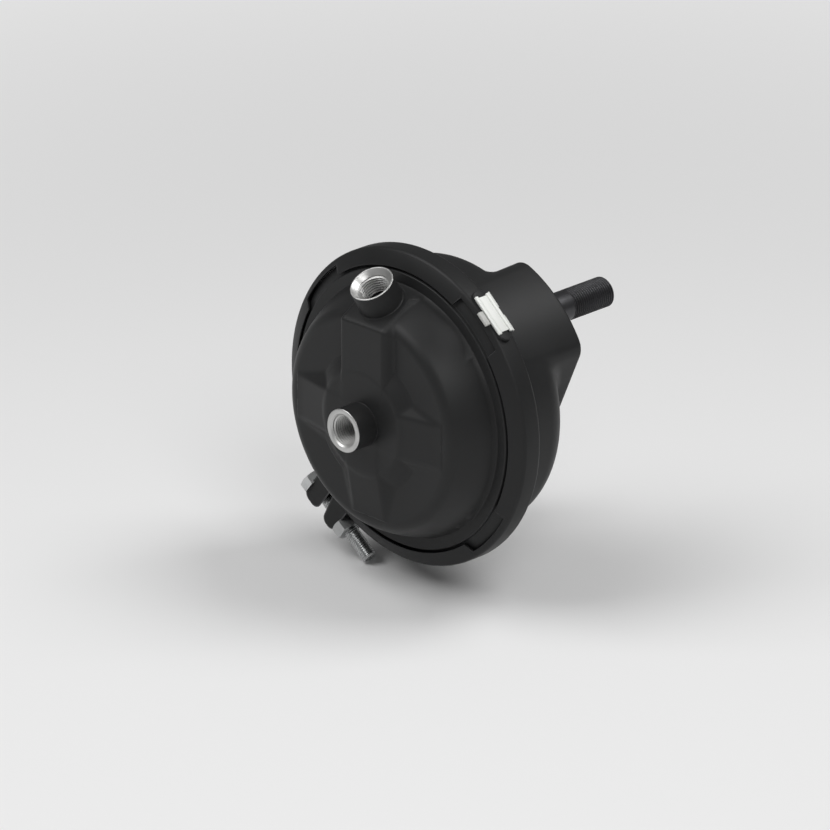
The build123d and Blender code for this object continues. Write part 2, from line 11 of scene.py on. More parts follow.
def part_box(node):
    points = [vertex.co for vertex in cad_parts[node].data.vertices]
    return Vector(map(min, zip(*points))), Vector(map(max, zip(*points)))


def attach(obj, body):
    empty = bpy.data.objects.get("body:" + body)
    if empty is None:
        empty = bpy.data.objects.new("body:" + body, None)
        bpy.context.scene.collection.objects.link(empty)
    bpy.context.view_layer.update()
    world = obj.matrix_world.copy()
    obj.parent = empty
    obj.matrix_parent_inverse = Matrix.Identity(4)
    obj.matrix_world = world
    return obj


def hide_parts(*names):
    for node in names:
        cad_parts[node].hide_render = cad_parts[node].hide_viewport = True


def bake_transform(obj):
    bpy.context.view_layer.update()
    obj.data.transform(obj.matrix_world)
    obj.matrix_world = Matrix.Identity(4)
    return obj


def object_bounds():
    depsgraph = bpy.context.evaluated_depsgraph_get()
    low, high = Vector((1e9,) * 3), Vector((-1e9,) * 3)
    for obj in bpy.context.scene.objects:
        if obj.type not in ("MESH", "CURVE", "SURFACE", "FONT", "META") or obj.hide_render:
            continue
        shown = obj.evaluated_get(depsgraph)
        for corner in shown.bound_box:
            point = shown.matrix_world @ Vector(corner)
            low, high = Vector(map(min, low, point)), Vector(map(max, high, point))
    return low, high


bl_info = {
    "name": "Air disc brake chamber",
    "version": (1, 0, 0),
    "blender": (4, 5, 0),
    "location": "3D View > Sidebar > Brake chamber",
    "description": "Dresses a packed brake chamber with finished pieces and a studio",
    "category": "Object",
}

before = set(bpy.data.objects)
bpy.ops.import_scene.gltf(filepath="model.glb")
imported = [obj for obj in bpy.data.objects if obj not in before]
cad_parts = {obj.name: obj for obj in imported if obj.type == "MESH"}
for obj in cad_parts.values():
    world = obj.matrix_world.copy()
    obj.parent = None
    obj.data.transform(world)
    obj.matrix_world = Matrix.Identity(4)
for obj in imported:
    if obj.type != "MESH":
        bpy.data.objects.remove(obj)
CAD_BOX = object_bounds()
MM = 0.001


def span(node, axis):
    """Lowest and highest coordinate of a CAD node along 0 X or 1 Y, in millimetres."""
    return [corner[axis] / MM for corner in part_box(node)[:2]]


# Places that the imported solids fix, in millimetres. +Y runs along the push rod.
PORT_FACE_Y = span("port_boss_centre", 1)[0]
BOSS_RADIUS = span("port_boss_centre", 0)[1]
FLANGE_RADIUS = span("pressure_housing", 0)[1]
PLATEAU_Y = span("pressure_housing", 1)[0]
BAND_RADIUS = span("clamp_band", 0)[1]
SPLIT_Y = sum(span("clamp_band", 1)) / 2
STUD_TIP_Y = span("mounting_stud_upper", 1)[1]

# Angles are degrees round the push rod, from +X towards +Z. Sizes are millimetres.
CLOCK_ANGLE = 49.0
CLAMP_ANGLE = 229.5
STUD_CIRCLE = 60.325
BOLT_CIRCLE = 92.9
BOLT_LEAN = 2.6
HEAD_SEAT = 11.4
NUT_SEAT = 12.4
LIP_ROOT = 5.25
LIP_LEAN = radians(27.0)


# ---- Sizes that a user would change ----


def length(name, default, description):
    """A length property in millimetres."""
    return FloatProperty(name=name, default=default, description=description, min=0.0)


def color(name, default, description):
    """A colour property."""
    return FloatVectorProperty(name=name, subtype="COLOR", size=3, default=default,
                               min=0.0, max=1.0, description=description)


class ShellSizes(bpy.types.PropertyGroup):
    """Sizes of the pressure housing's pressed face."""

    floor_y: length("Pocket depth", 5.2, "Pocket floors below the plateau, mm")
    plateau_radius: length("Plateau radius", 27.0, "Raised disc round the port, mm")
    rib_half_width: length("Rib half width", 11.1, "Half width of the ribs, mm")
    pad_half_width: length("Pad half width", 15.0, "Half width of the port pad, mm")
    pad_reach: length("Pad reach", 53.0, "Height at which the pad bends back, mm")
    columns: IntProperty(name="Columns", default=480, min=24,
                         description="Faces round the shell")


class BandSizes(bpy.types.PropertyGroup):
    """Sizes of the clamp band."""

    lip_radius: length("Lip radius", 74.2, "Inner edge of the lips, mm")
    notch_radius: length("Notch radius", 79.3, "Depth of the notches, mm")
    thickness: length("Thickness", 2.2, "Sheet thickness, mm")
    gap: length("Gap", 4.0, "Gap between the ears, mm")


class ThreadSizes(bpy.types.PropertyGroup):
    """Sizes of the threads."""

    stud_pitch: length("Stud pitch", 1.5, "Pitch of the studs and ports, mm")
    bolt_pitch: length("Bolt pitch", 1.25, "Pitch of the clamp bolt, mm")


class Finish(bpy.types.PropertyGroup):
    """Colours of the finishes."""

    coating: color("Coating", (0.016, 0.0162, 0.0165), "Black coating of the housings")
    label: color("Label", (0.82, 0.83, 0.80), "Plastic of the label clip")
    floor: color("Floor", (0.80, 0.80, 0.80), "Studio floor")


# ---- Curves and outlines ----


def rounded(points, radii, steps=5, closed=True):
    """Outline through 2-D corners with each corner rounded to its radius."""
    points = [complex(*p) for p in points]
    count = len(points)
    outline = []
    for i, (corner, radius) in enumerate(zip(points, np.broadcast_to(radii, count))):
        if radius <= 0 or (not closed and i in (0, count - 1)):
            outline.append((corner.real, corner.imag))
            continue
        back, ahead = points[i - 1] - corner, points[(i + 1) % count] - corner
        half = abs(phase(ahead / back)) / 2
        run = min(radius / tan(half), 0.49 * abs(back), 0.49 * abs(ahead))
        back, ahead = back / abs(back), ahead / abs(ahead)
        middle = corner + (back + ahead) / abs(back + ahead) * run / cos(half)
        start = corner + back * run - middle
        turn = phase((corner + ahead * run - middle) / start)
        for step in range(steps + 1):
            point = middle + start * exp(1j * turn * step / steps)
            outline.append((point.real, point.imag))
    return outline


def smooth_min(a, b, width):
    """Lesser of two heights, with the corner between them filled."""
    h = np.clip(0.5 + 0.5 * (b - a) / width, 0, 1)
    return b + (a - b) * h - width * h * (1 - h)


def smooth_max(a, b, width):
    """Greater of two heights, with the corner between them rounded."""
    return -smooth_min(-a, -b, width)


def smooth_step(x, start, end):
    """0 before start, 1 after end, and an even curve between."""
    t = np.clip((x - start) / (end - start), 0, 1)
    return t * t * (3 - 2 * t)


def unit_steps(line):
    """Unit vector ahead at each point of a line."""
    ahead = np.gradient(line, axis=0)
    return ahead / np.linalg.norm(ahead, axis=1)[:, None]


def thicken(path, radii, steps, half):
    """Closed section of a bent sheet that runs along a path with rounded corners."""
    line = np.array(rounded(path, radii, steps=steps, closed=False))
    ahead = unit_steps(line)
    off = np.stack([-ahead[:, 1], ahead[:, 0]], axis=1) * half
    return np.concatenate([line + off, (line - off)[::-1]])


def turns(columns):
    """Angles of even columns round an axis."""
    return np.arange(columns) * 2 * pi / columns


def spun(rows, angles):
    """Rings of points round Z. Each row is (radius, height), numbers or arrays."""
    return np.concatenate([
        np.stack([r * np.cos(angles), r * np.sin(angles), h + 0 * angles], axis=1)
        for r, h in rows])


def round_y(points):
    """The same points with their rings round Y instead of Z."""
    return points[:, [0, 2, 1]]


# ---- Meshes ----


def axis_frame(origin, axis, side):
    """Matrix whose local z is axis and whose local x leans towards side."""
    z = Vector(axis).normalized()
    x = (Vector(side) - z * Vector(side).dot(z)).normalized()
    turn = Matrix((x, z.cross(x), z)).transposed().to_4x4()
    return Matrix.Translation(Vector(origin)) @ turn


def raised(place, height):
    """The same frame, further along its z axis."""
    return place @ Matrix.Translation((0, 0, height))


def finish_mesh(mesh, sharp, merge=0.0):
    """Merges near points, turns faces outwards and marks edges over an angle sharp."""
    bm = bmesh.new()
    bm.from_mesh(mesh)
    if merge:
        bmesh.ops.remove_doubles(bm, verts=bm.verts, dist=merge)
        bmesh.ops.dissolve_degenerate(bm, dist=merge, edges=bm.edges)
    bmesh.ops.recalc_face_normals(bm, faces=bm.faces)
    for face in bm.faces:
        face.smooth = True
    for edge in bm.edges:
        if len(edge.link_faces) == 2:
            edge.smooth = edge.calc_face_angle() < radians(sharp)
    bm.to_mesh(mesh)
    bm.free()
    return mesh


def build(name, points, faces, sharp=32.0, merge=1e-4, place=None):
    """Mesh from points in millimetres, in a place's frame if there is one."""
    data = np.array(points, float)
    if place is not None:
        matrix = np.array(place, float)
        data = data @ matrix[:3, :3].T + matrix[:3, 3]
    mesh = bpy.data.meshes.new(name)
    mesh.from_pydata((data * MM).tolist(), [], faces)
    return finish_mesh(mesh, sharp, merge * MM)


def grid_faces(rows, columns, wrap_rows=False):
    """Quads of a grid of points that is stored row by row and closed round."""
    faces = []
    for i in range(rows if wrap_rows else rows - 1):
        a, b = i * columns, (i + 1) % rows * columns
        for j in range(columns):
            k = (j + 1) % columns
            faces.append((a + j, a + k, b + k, b + j))
    return faces


def tube_faces(rows, columns):
    """Quads of a tube of rings, with its two ends closed."""
    last = (rows - 1) * columns
    return grid_faces(rows, columns) + [
        tuple(range(columns)), tuple(range(last, last + columns))[::-1]]


def lathe(name, profile, place, columns=96, closed=True, **options):
    """Turned piece. profile is (radius, height) pairs along the place's z axis."""
    faces = grid_faces(len(profile), columns, wrap_rows=closed)
    return build(name, spun(profile, turns(columns)), faces, place=place, **options)


def prism(name, outline, depth, place, bevel, steps=2, **options):
    """Block with a 2-D outline in the place's x and y, and its z from 0 to depth."""
    outline = np.array(outline) @ (1, 1j)
    ahead = np.roll(outline, -1) - outline
    normal = -1j * ahead / np.abs(ahead)
    lean = normal + np.roll(normal, 1)
    lean /= (lean * normal.conj()).real
    rings = []
    for a in np.linspace(0, pi / 2, steps + 1):
        rings.append((outline - lean * bevel * (1 - sin(a)), bevel * (1 - cos(a))))
    rings += [(ring, depth - height) for ring, height in rings[::-1]]
    points = [(p.real, p.imag, h) for ring, h in rings for p in ring]
    return build(name, points, tube_faces(len(rings), len(outline)), place=place,
                 merge=0, **options)


def add_object(name, data):
    """New object in the scene."""
    item = bpy.data.objects.new(name, data)
    bpy.context.scene.collection.objects.link(item)
    return item


def bake(name, *items):
    """Plain mesh of the first object with its modifiers. All the objects go."""
    graph = bpy.context.evaluated_depsgraph_get()
    mesh = bpy.data.meshes.new_from_object(items[0].evaluated_get(graph))
    for item in items:
        data = item.data
        bpy.data.objects.remove(item)
        bpy.data.meshes.remove(data)
    mesh.name = name
    return mesh


def add_piece(mesh, material, replaces=None, body="chamber"):
    """Object for a finished mesh and the node that it stands for.
    It rides on a body, unless body is None."""
    piece = add_object(mesh.name, mesh)
    if material:
        mesh.materials.append(bpy.data.materials[material])
    if body:
        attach(piece, body)
    if replaces:
        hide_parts(replaces)
    return piece


# ---- Node trees ----


class Tree:
    """Short way to write a node tree."""

    def __init__(self, tree):
        self.tree = tree

    def feed(self, node, values):
        """Links or sets inputs of a node."""
        for key, value in values.items():
            if isinstance(value, bpy.types.NodeSocket):
                self.tree.links.new(value, node.inputs[key])
            else:
                node.inputs[key].default_value = value

    def node(self, kind, values=None, **settings):
        made = self.tree.nodes.new(kind)
        for key, value in settings.items():
            setattr(made, key, value)
        self.feed(made, values or {})
        return made

    def math(self, operation, a, b=0.0):
        return self.node("ShaderNodeMath", {0: a, 1: b}, operation=operation).outputs[0]

    def plus(self, a, b):
        return self.math("ADD", a, b)

    def times(self, a, b):
        return self.math("MULTIPLY", a, b)

    def noise(self, vector, scale, detail, roughness=0.5):
        return self.node("ShaderNodeTexNoise", {
            "Vector": vector, "Scale": scale, "Detail": detail,
            "Roughness": roughness}).outputs["Fac"]

    def ramp(self, value, low_end, high_end, start=0.3, stop=0.7, **settings):
        """Number that runs between two ends as value runs from start to stop."""
        return self.node("ShaderNodeMapRange", {
            "Value": value, "From Min": start, "From Max": stop,
            "To Min": low_end, "To Max": high_end}, **settings).outputs["Result"]

    def group(self, name, values):
        """Outputs of a shared shader group."""
        return self.node("ShaderNodeGroup", values,
                         node_tree=bpy.data.node_groups[name]).outputs

    def mix(self, fac, a, b):
        """Colour between a and b, which are colours or sockets."""
        a, b = (c if isinstance(c, bpy.types.NodeSocket) else (*c, 1.0) for c in (a, b))
        return self.node("ShaderNodeMix", {0: fac, 6: a, 7: b},
                         data_type="RGBA").outputs[2]


INPUT_TYPES = {float: "NodeSocketFloat", int: "NodeSocketInt",
               tuple: "NodeSocketVector"}
OUTPUT_TYPES = {"ShaderNodeTree": "NodeSocketFloat",
                "GeometryNodeTree": "NodeSocketGeometry"}


def node_group(kind, name, inputs, wire):
    """Node group, made once. inputs holds defaults by name, and wire(tree, given)
    returns what each output gets."""
    if name not in bpy.data.node_groups:
        tree = bpy.data.node_groups.new(name, kind)
        for label, default in inputs.items():
            tree.interface.new_socket(
                label, in_out="INPUT", socket_type=INPUT_TYPES[type(default)],
            ).default_value = default
        t = Tree(tree)
        results = wire(t, t.node("NodeGroupInput").outputs)
        for label in results:
            tree.interface.new_socket(label, in_out="OUTPUT",
                                      socket_type=OUTPUT_TYPES[kind])
        t.node("NodeGroupOutput", results)
    return bpy.data.node_groups[name]


def wire_ridge(t, given):
    """A wedge swept along a spiral, thinning out at both ends."""
    spiral = t.node("GeometryNodeCurveSpiral", {
        "Resolution": given["Points per turn"],
        "Rotations": t.math("DIVIDE", given["Length"], given["Pitch"]),
        "Start Radius": given["Root radius"], "End Radius": given["Root radius"],
        "Height": given["Length"], "Reverse": True,
    })
    along = t.node("GeometryNodeSplineParameter").outputs["Length"]
    total = t.node("GeometryNodeSplineLength").outputs["Length"]
    fade = t.times(given["Root radius"], 3.0)
    head = t.math("DIVIDE", along, fade)
    tail = t.math("DIVIDE", t.math("SUBTRACT", total, along), fade)
    share = t.math("MINIMUM", t.math("MINIMUM", head, tail), 1.0)
    sized = t.node("GeometryNodeSetCurveRadius", {
        "Curve": spiral.outputs["Curve"], "Radius": t.math("MAXIMUM", share, 0.02)})
    level = t.node("GeometryNodeSetCurveNormal",
                   {"Curve": sized.outputs["Curve"]}, mode="Z_UP")
    wedge = t.node("GeometryNodeCurvePrimitiveQuadrilateral", {
        "Bottom Width": given["Ridge width"],
        "Top Width": t.times(given["Ridge width"], 0.16),
        "Height": t.times(t.math("ABSOLUTE", given["Ridge height"]), 1.3),
        "Offset": 0.0,
    }, mode="TRAPEZOID")
    side = t.math("SIGN", given["Ridge height"])
    turn = t.node("ShaderNodeCombineXYZ", {"Z": t.times(side, -pi / 2)})
    lift = t.node("ShaderNodeCombineXYZ", {"X": t.times(given["Ridge height"], 0.35)})
    turned = t.node("GeometryNodeTransform", {
        "Geometry": wedge.outputs["Curve"], "Translation": lift.outputs["Vector"],
        "Rotation": turn.outputs["Vector"],
    })
    sweep = t.node("GeometryNodeCurveToMesh", {
        "Curve": level.outputs["Curve"], "Profile Curve": turned.outputs["Geometry"],
        "Fill Caps": True,
    })
    return {"Geometry": sweep.outputs["Mesh"]}


def thread(name, place, root, height, pitch, run, material, points):
    """Helical ridge from the place's origin along its z axis. A negative height
    turns the ridge inwards."""
    values = {"Root radius": root, "Ridge height": height, "Ridge width": pitch * 0.96,
              "Pitch": pitch, "Length": run, "Points per turn": points}
    tree = node_group("GeometryNodeTree", "helical ridge", values, wire_ridge)
    carrier = add_object("carrier", bpy.data.meshes.new("carrier"))
    modifier = carrier.modifiers.new("nodes", "NODES")
    modifier.node_group = tree
    for item in tree.interface.items_tree:
        if item.in_out == "INPUT":
            modifier[item.identifier] = values[item.name]
    mesh = bake(name, carrier)
    mesh.transform(Matrix.Diagonal((MM, MM, MM, 1.0)) @ place)
    add_piece(finish_mesh(mesh, 30), material)


# ---- Materials ----


def wire_edge_wear(t, given):
    """Mask of worn outer edges, broken up by noise."""
    bevel = t.node("ShaderNodeBevel", {"Radius": given["Reach"]}, samples=4)
    plain = t.node("ShaderNodeNewGeometry").outputs["Normal"]
    apart = t.node("ShaderNodeVectorMath", {0: bevel.outputs[0], 1: plain},
                   operation="DOT_PRODUCT").outputs["Value"]
    noise = t.noise(given["Vector"], given["Breakup"], 3.0)
    broken = t.times(t.math("SUBTRACT", 1.0, apart), t.plus(noise, 0.4))
    return {"Mask": t.times(t.ramp(broken, 0.0, 1.0, 0.03, 0.22), given["Amount"])}


def wire_grain(t, given):
    """Fine cast or sprayed grain: a height, slow patches for gloss, and specks."""
    fine = t.noise(given["Vector"], given["Fine scale"], 3.0)
    wide = t.noise(given["Vector"], given["Patch scale"], 4.0, 0.6)
    cells = t.node("ShaderNodeTexVoronoi", {
        "Vector": given["Vector"], "Scale": t.times(given["Fine scale"], 0.4)})
    return {"Height": t.plus(t.times(fine, 0.7), t.times(wide, 0.3)), "Patches": wide,
            "Specks": t.ramp(cells.outputs["Distance"], 0.0, 1.0, 0.10, 0.02)}


def wire_turning(t, given):
    """Rings that a lathe tool leaves round the Z axis of its vector."""
    part = t.node("ShaderNodeSeparateXYZ", {"Vector": given["Vector"]}).outputs
    square = t.plus(t.times(part["X"], part["X"]), t.times(part["Y"], part["Y"]))
    reach = t.plus(t.math("SQRT", square), part["Z"])
    along = t.node("ShaderNodeCombineXYZ", {"X": reach}).outputs[0]
    return {"Height": t.noise(along, given["Rings per metre"], 2.0),
            "Streaks": t.noise(given["Vector"], 220.0, 3.0)}


SHADER_GROUPS = {
    "edge wear": ({"Reach": 0.0006, "Amount": 0.5, "Breakup": 300.0}, wire_edge_wear),
    "surface grain": ({"Fine scale": 900.0, "Patch scale": 18.0}, wire_grain),
    "turning marks": ({"Rings per metre": 2600.0}, wire_turning),
}


def new_material(name):
    """New material's tree and shader."""
    material = bpy.data.materials.new(name)
    material.use_nodes = True
    return Tree(material.node_tree), material.node_tree.nodes["Principled BSDF"]


def surface(name, color, second, share, gloss, fine, patches, bump, turned=None,
            specks=None, wear=None, plain=()):
    """Material whose colour wanders to a share of a second one, and its gloss between
    two ends, in patches. bump is its strength and distance. turned is the frame of
    lathe marks, specks an amount and a colour, and wear an amount, a reach, a
    breakup, a colour and how much it polishes."""
    t, shader = new_material(name)
    place = t.node("ShaderNodeTexCoord").outputs["Object"]
    grain = t.group("surface grain", {
        "Vector": place, "Fine scale": fine, "Patch scale": patches})
    height = grain["Height"]
    gloss = t.ramp(grain["Patches"], *gloss)
    body = t.mix(t.ramp(grain["Patches"], 0.0, share), color, second)
    if turned is not None:
        back = turned.inverted()
        mapping = t.node("ShaderNodeMapping", {
            "Vector": place, "Location": back.to_translation(),
            "Rotation": back.to_euler()})
        marks = t.group("turning marks", {"Vector": mapping.outputs["Vector"]})
        height = t.plus(t.times(marks["Height"], 0.8), t.times(height, 0.2))
        body = t.mix(t.ramp(marks["Streaks"], 0.0, 0.5), body, second)
    if specks:
        body = t.mix(t.times(grain["Specks"], specks[0]), body, specks[1])
    if wear:
        amount, reach, breakup, bright, polish = wear
        worn = t.group("edge wear", {"Vector": place, "Amount": amount, "Reach": reach,
                                     "Breakup": breakup})["Mask"]
        body = t.mix(worn, body, bright)
        if polish:
            gloss = t.math("SUBTRACT", gloss, t.times(worn, polish))
    bumped = t.node("ShaderNodeBump", {
        "Height": height, "Strength": bump[0], "Distance": bump[1]})
    t.feed(shader, {"Base Color": body, "Roughness": gloss,
                    "Normal": bumped.outputs["Normal"], **dict(plain)})


def scaled(color, factor, lift=0.0):
    """Colour times a factor plus a lift, no brighter than white."""
    return [min(1.0, c * factor + lift) for c in color]


def coated(name, color, roughness, wear, fine=1100.0):
    """Black coating over steel: faint orange peel, dust, and rubbed edges."""
    surface(name, color, scaled(color, 1.5, 0.004), 0.35,
            (roughness - 0.05, roughness + 0.06), fine, 14.0, (0.35, 0.00004),
            specks=(0.10, (0.16, 0.16, 0.16)),
            wear=(wear, 0.0007, 420.0, (0.13, 0.13, 0.135), 0.10),
            plain={"Specular IOR Level": 0.22})


def metal(name, color, roughness, stain, wear=0.0, metallic=1.0, turned=None):
    """Bare, plated or phosphated steel."""
    rubbed = (wear, 0.0004, 500.0, scaled(color, 2.2, 0.1), 0.0) if wear else None
    surface(name, color, scaled(color, 1.0 - stain), 1.0,
            (roughness - 0.06, roughness + 0.08), 1500.0, 60.0, (0.4, 0.00002),
            turned, wear=rubbed, plain={"Metallic": metallic})


def moulded(name, color, roughness, contrast=0.12, speck=0.0):
    """Plastic or rubber with a fine moulded texture."""
    surface(name, color, scaled(color, 1.0 - contrast), 1.0,
            (roughness - 0.05, roughness + 0.07), 1400.0, 30.0, (0.4, 0.00003),
            specks=(speck, scaled(color, 3, 0.05)) if speck else None)


# ---- Places of the ports and the clamp bolt ----

UPPER_TILT = radians(60.0)
# Each port's name, the frame on its axis with z 0 at its face, the height of its
# boss and the radius of its countersink.
PORTS = (
    ("centre", axis_frame((0, PORT_FACE_Y, 0), (0, -1, 0), (1, 0, 0)), 13.0, 8.9),
    ("upper", axis_frame((0, PORT_FACE_Y + 20.1, 73.0),
                         (0, -cos(UPPER_TILT), sin(UPPER_TILT)), (1, 0, 0)),
     13.75, 10.7),
)


def clock_vector(angle):
    """Unit vector across the push rod's axis, from +X towards +Z."""
    return Vector((cos(radians(angle)), 0.0, sin(radians(angle))))


def radial_place(angle, reach, y):
    """Frame at a reach from the push rod's axis, its z outwards and its x along Y."""
    out = clock_vector(angle)
    return axis_frame(out * reach + Vector((0, y, 0)), out, (0, 1, 0))


def clamp_place():
    """Frame on the bolt's axis: x out of the band, y along the bolt, z towards -Y."""
    origin = clock_vector(CLAMP_ANGLE) * BOLT_CIRCLE + Vector((0, SPLIT_Y, 0))
    return axis_frame(origin, (0, -1, 0), clock_vector(CLAMP_ANGLE + BOLT_LEAN))


# ---- Finishes ----


class ToolOperator(bpy.types.Operator):
    """Base of the operators, which each make one thing in the scene"""

    bl_options = {"REGISTER", "UNDO"}


def build_finishes(scene):
    for name, (inputs, wire) in SHADER_GROUPS.items():
        node_group("ShaderNodeTree", name, {"Vector": (0, 0, 0), **inputs}, wire)
    black = tuple(scene.chamber_finish.coating)
    coated("shell coating", black, 0.42, 0.35)
    coated("band coating", [c * 0.9 for c in black], 0.45, 0.5)
    coated("boss coating", black, 0.5, 0.3, fine=900.0)
    for label, place, *_ in PORTS:
        marks = place.copy()
        marks.translation *= MM
        metal("machined " + label, (0.62, 0.62, 0.61), 0.42, 0.2, turned=marks)
    metal("zinc plate", (0.66, 0.67, 0.67), 0.30, 0.25, wear=0.3)
    metal("black phosphate", (0.095, 0.095, 0.10), 0.42, 0.4, wear=0.5, metallic=0.9)
    metal("pressed steel", (0.45, 0.45, 0.44), 0.38, 0.3)
    metal("spring steel", (0.13, 0.13, 0.135), 0.4, 0.3, wear=0.4)
    metal("rod steel", (0.55, 0.55, 0.54), 0.28, 0.2)
    moulded("rubber", (0.022, 0.022, 0.022), 0.62, speck=0.05)
    moulded("seal rubber", (0.03, 0.03, 0.032), 0.5)
    moulded("label plastic", tuple(scene.chamber_finish.label), 0.42, contrast=0.05)
    moulded("label tab", (0.50, 0.50, 0.48), 0.45, contrast=0.08)
    moulded("vent plastic", (0.03, 0.03, 0.032), 0.5, contrast=0.2)


class CHAMBER_OT_finishes(ToolOperator):
    """Makes the materials of every finish"""

    bl_idname = "chamber.finishes"
    bl_label = "Finishes"

    def execute(self, context):
        build_finishes(context.scene)
        return {"FINISHED"}


# ---- Pressure housing ----

SHOULDER_RADIUS = 8.0
SHOULDER_START = 51.9
SHOULDER_TURN = radians(58.0)
BASE_RADIUS = 66.6
BASE_Y = SPLIT_Y - 9.8
SHELL_WALL = 3.5
SHELL_BACK_Y = SPLIT_Y - 1.3
WALL_SLOPE = 1 / tan(radians(58.5))
PAD_SLOPE = 1 / tan(radians(27.0))
SPIGOT_RADIUS = 8.6
INSIDE_EDGE = 63.0
# Rings of the pressed face: from a radius to the next, in a number of steps.
FACE_RINGS = ((SPIGOT_RADIUS, 24.0, 8), (24.0, 38.0, 30), (38.0, 50.0, 14),
              (50.0, 60.0, 24))


def dome_y(radius, floor_y, inset=0.0):
    """Height of the dome over its radius: floor, round shoulder and curved flank."""
    reach = SHOULDER_RADIUS - inset
    middle_y = floor_y + SHOULDER_RADIUS
    turn_r = SHOULDER_START + reach * sin(SHOULDER_TURN)
    turn_y = middle_y - reach * cos(SHOULDER_TURN)
    over = np.clip(radius - SHOULDER_START, 0, reach * sin(SHOULDER_TURN))
    shoulder = middle_y - np.sqrt(reach**2 - over**2)
    foot_r = BASE_RADIUS - inset
    chord = atan2(BASE_Y - turn_y, foot_r - turn_r)
    sweep = np.hypot(foot_r - turn_r, BASE_Y - turn_y) / 2 / sin(chord - SHOULDER_TURN)
    over = np.clip(radius, turn_r, foot_r) - turn_r + sweep * sin(SHOULDER_TURN)
    flank = (turn_y + sweep * cos(SHOULDER_TURN)
             - np.sqrt(np.maximum(sweep**2 - over**2, 0.0)))
    return np.where(radius < turn_r, shoulder, flank)


def face_y(across, upward, sizes):
    """Height of the pressed face over X and Z: pockets, ribs, plateau and pad."""
    radius = np.hypot(across, upward)
    floor_y = PLATEAU_Y + sizes.floor_y
    crest, foot, far = 0.9, 1.4, 50.0
    plateau = smooth_max(np.full_like(radius, PLATEAU_Y), PLATEAU_Y
                         + (radius - sizes.plateau_radius) * WALL_SLOPE, crest)
    forms = plateau + 4 * np.maximum(plateau - floor_y, 0)
    rib_start = sqrt(sizes.plateau_radius**2 - sizes.rib_half_width**2)
    fall = sizes.floor_y / (SHOULDER_START - rib_start)
    for out_x, out_z in ((1, 0), (-1, 0), (0, -1)):
        along = across * out_x + upward * out_z
        side = np.abs(across * out_z - upward * out_x)
        top = (PLATEAU_Y + np.maximum(along - rib_start, 0) * fall
               + np.maximum(along - SHOULDER_START + 1.0, 0) * 4.0)
        rib = smooth_max(top, top + (side - sizes.rib_half_width) * WALL_SLOPE, crest)
        forms = smooth_min(forms, np.where(along > 0, rib, rib + far), 0.7)
    over = smooth_max(np.abs(across) - sizes.pad_half_width,
                      np.zeros_like(radius), 1.5) * PAD_SLOPE
    lean = PLATEAU_Y + (upward - sizes.pad_reach) * tan(UPPER_TILT)
    pad = smooth_max(PLATEAU_Y + over, lean + 2 * over, 2.4)
    forms = smooth_min(forms, np.where(upward > 0, pad, pad + far), 0.8)
    return smooth_min(dome_y(radius, floor_y), forms, foot)


def lip_height(radius, inset=0.0):
    """Height of the band's lip from the split at a radius, or inside its sheet."""
    return LIP_ROOT + (BAND_RADIUS - radius) * tan(LIP_LEAN) - inset / cos(LIP_LEAN)


def flange_y(radius):
    """Height of the flange's sloping front, just clear of the band's lip."""
    return SPLIT_Y - lip_height(radius, 2.2 + 0.15)


def build_pressure_housing(scene):
    sizes = scene.chamber_shell
    angles = turns(sizes.columns)
    radii = np.concatenate([np.linspace(*ring, endpoint=False)
                            for ring in FACE_RINGS] + [np.linspace(60.0, 66.2, 28)])
    across = np.outer(radii, np.cos(angles))
    upward = np.outer(radii, np.sin(angles))
    heights = face_y(across, upward, sizes)
    face = np.stack([across, heights, upward], axis=2).reshape(-1, 3)
    floor_y = PLATEAU_Y + sizes.floor_y
    ledge = rounded(
        [(BASE_RADIUS, BASE_Y), (BASE_RADIUS + 0.7, BASE_Y + 0.9),
         (73.1, BASE_Y + 0.5), (73.4, flange_y(74.2) - 0.2), (75.0, flange_y(75.0)),
         (FLANGE_RADIUS, flange_y(FLANGE_RADIUS)), (FLANGE_RADIUS, SHELL_BACK_Y),
         (INSIDE_EDGE, SHELL_BACK_Y)],
        [0, 0.7, 0.7, 0.4, 0.4, 0.8, 0.4, 0], closed=False)[1:]
    inside = [(r, float(dome_y(r, floor_y, SHELL_WALL)))
              for r in np.linspace(INSIDE_EDGE, SPIGOT_RADIUS, 24)]
    points = np.concatenate([face, round_y(spun(ledge + inside, angles))])
    faces = grid_faces(len(points) // len(angles), len(angles), wrap_rows=True)
    mesh = build("pressure_shell", points, faces, sharp=40)
    add_piece(mesh, "shell coating", replaces="pressure_housing")


class CHAMBER_OT_pressure_housing(ToolOperator):
    """Builds the pressure housing's pressed shell"""

    bl_idname = "chamber.pressure_housing"
    bl_label = "Pressure housing"

    def execute(self, context):
        build_pressure_housing(context.scene)
        return {"FINISHED"}


# ---- Ports ----

PORT_BORE, PORT_PASSAGE = 8.0, 4.0
THREAD_END, BORE_END = 13.4, 14.0
WELD_ROOT, WELD_RADIUS = BOSS_RADIUS - 0.4, 1.9


def build_ports(scene):
    pitch = scene.chamber_threads.stud_pitch
    for label, place, height, countersink in PORTS:
        profile = boss_profile(height, countersink)
        mesh = lathe(label + "_port", profile, place, sharp=50)
        paint_boss(mesh, label, place.inverted())
        add_piece(mesh, None, "port_boss_" + label)
        run = THREAD_END - (countersink - PORT_BORE) - 0.2
        thread(label + "_port_thread", raised(place, -THREAD_END), PORT_BORE, -0.8,
               pitch, run, "machined " + label, 56)
        build_weld(label, raised(place, -height))


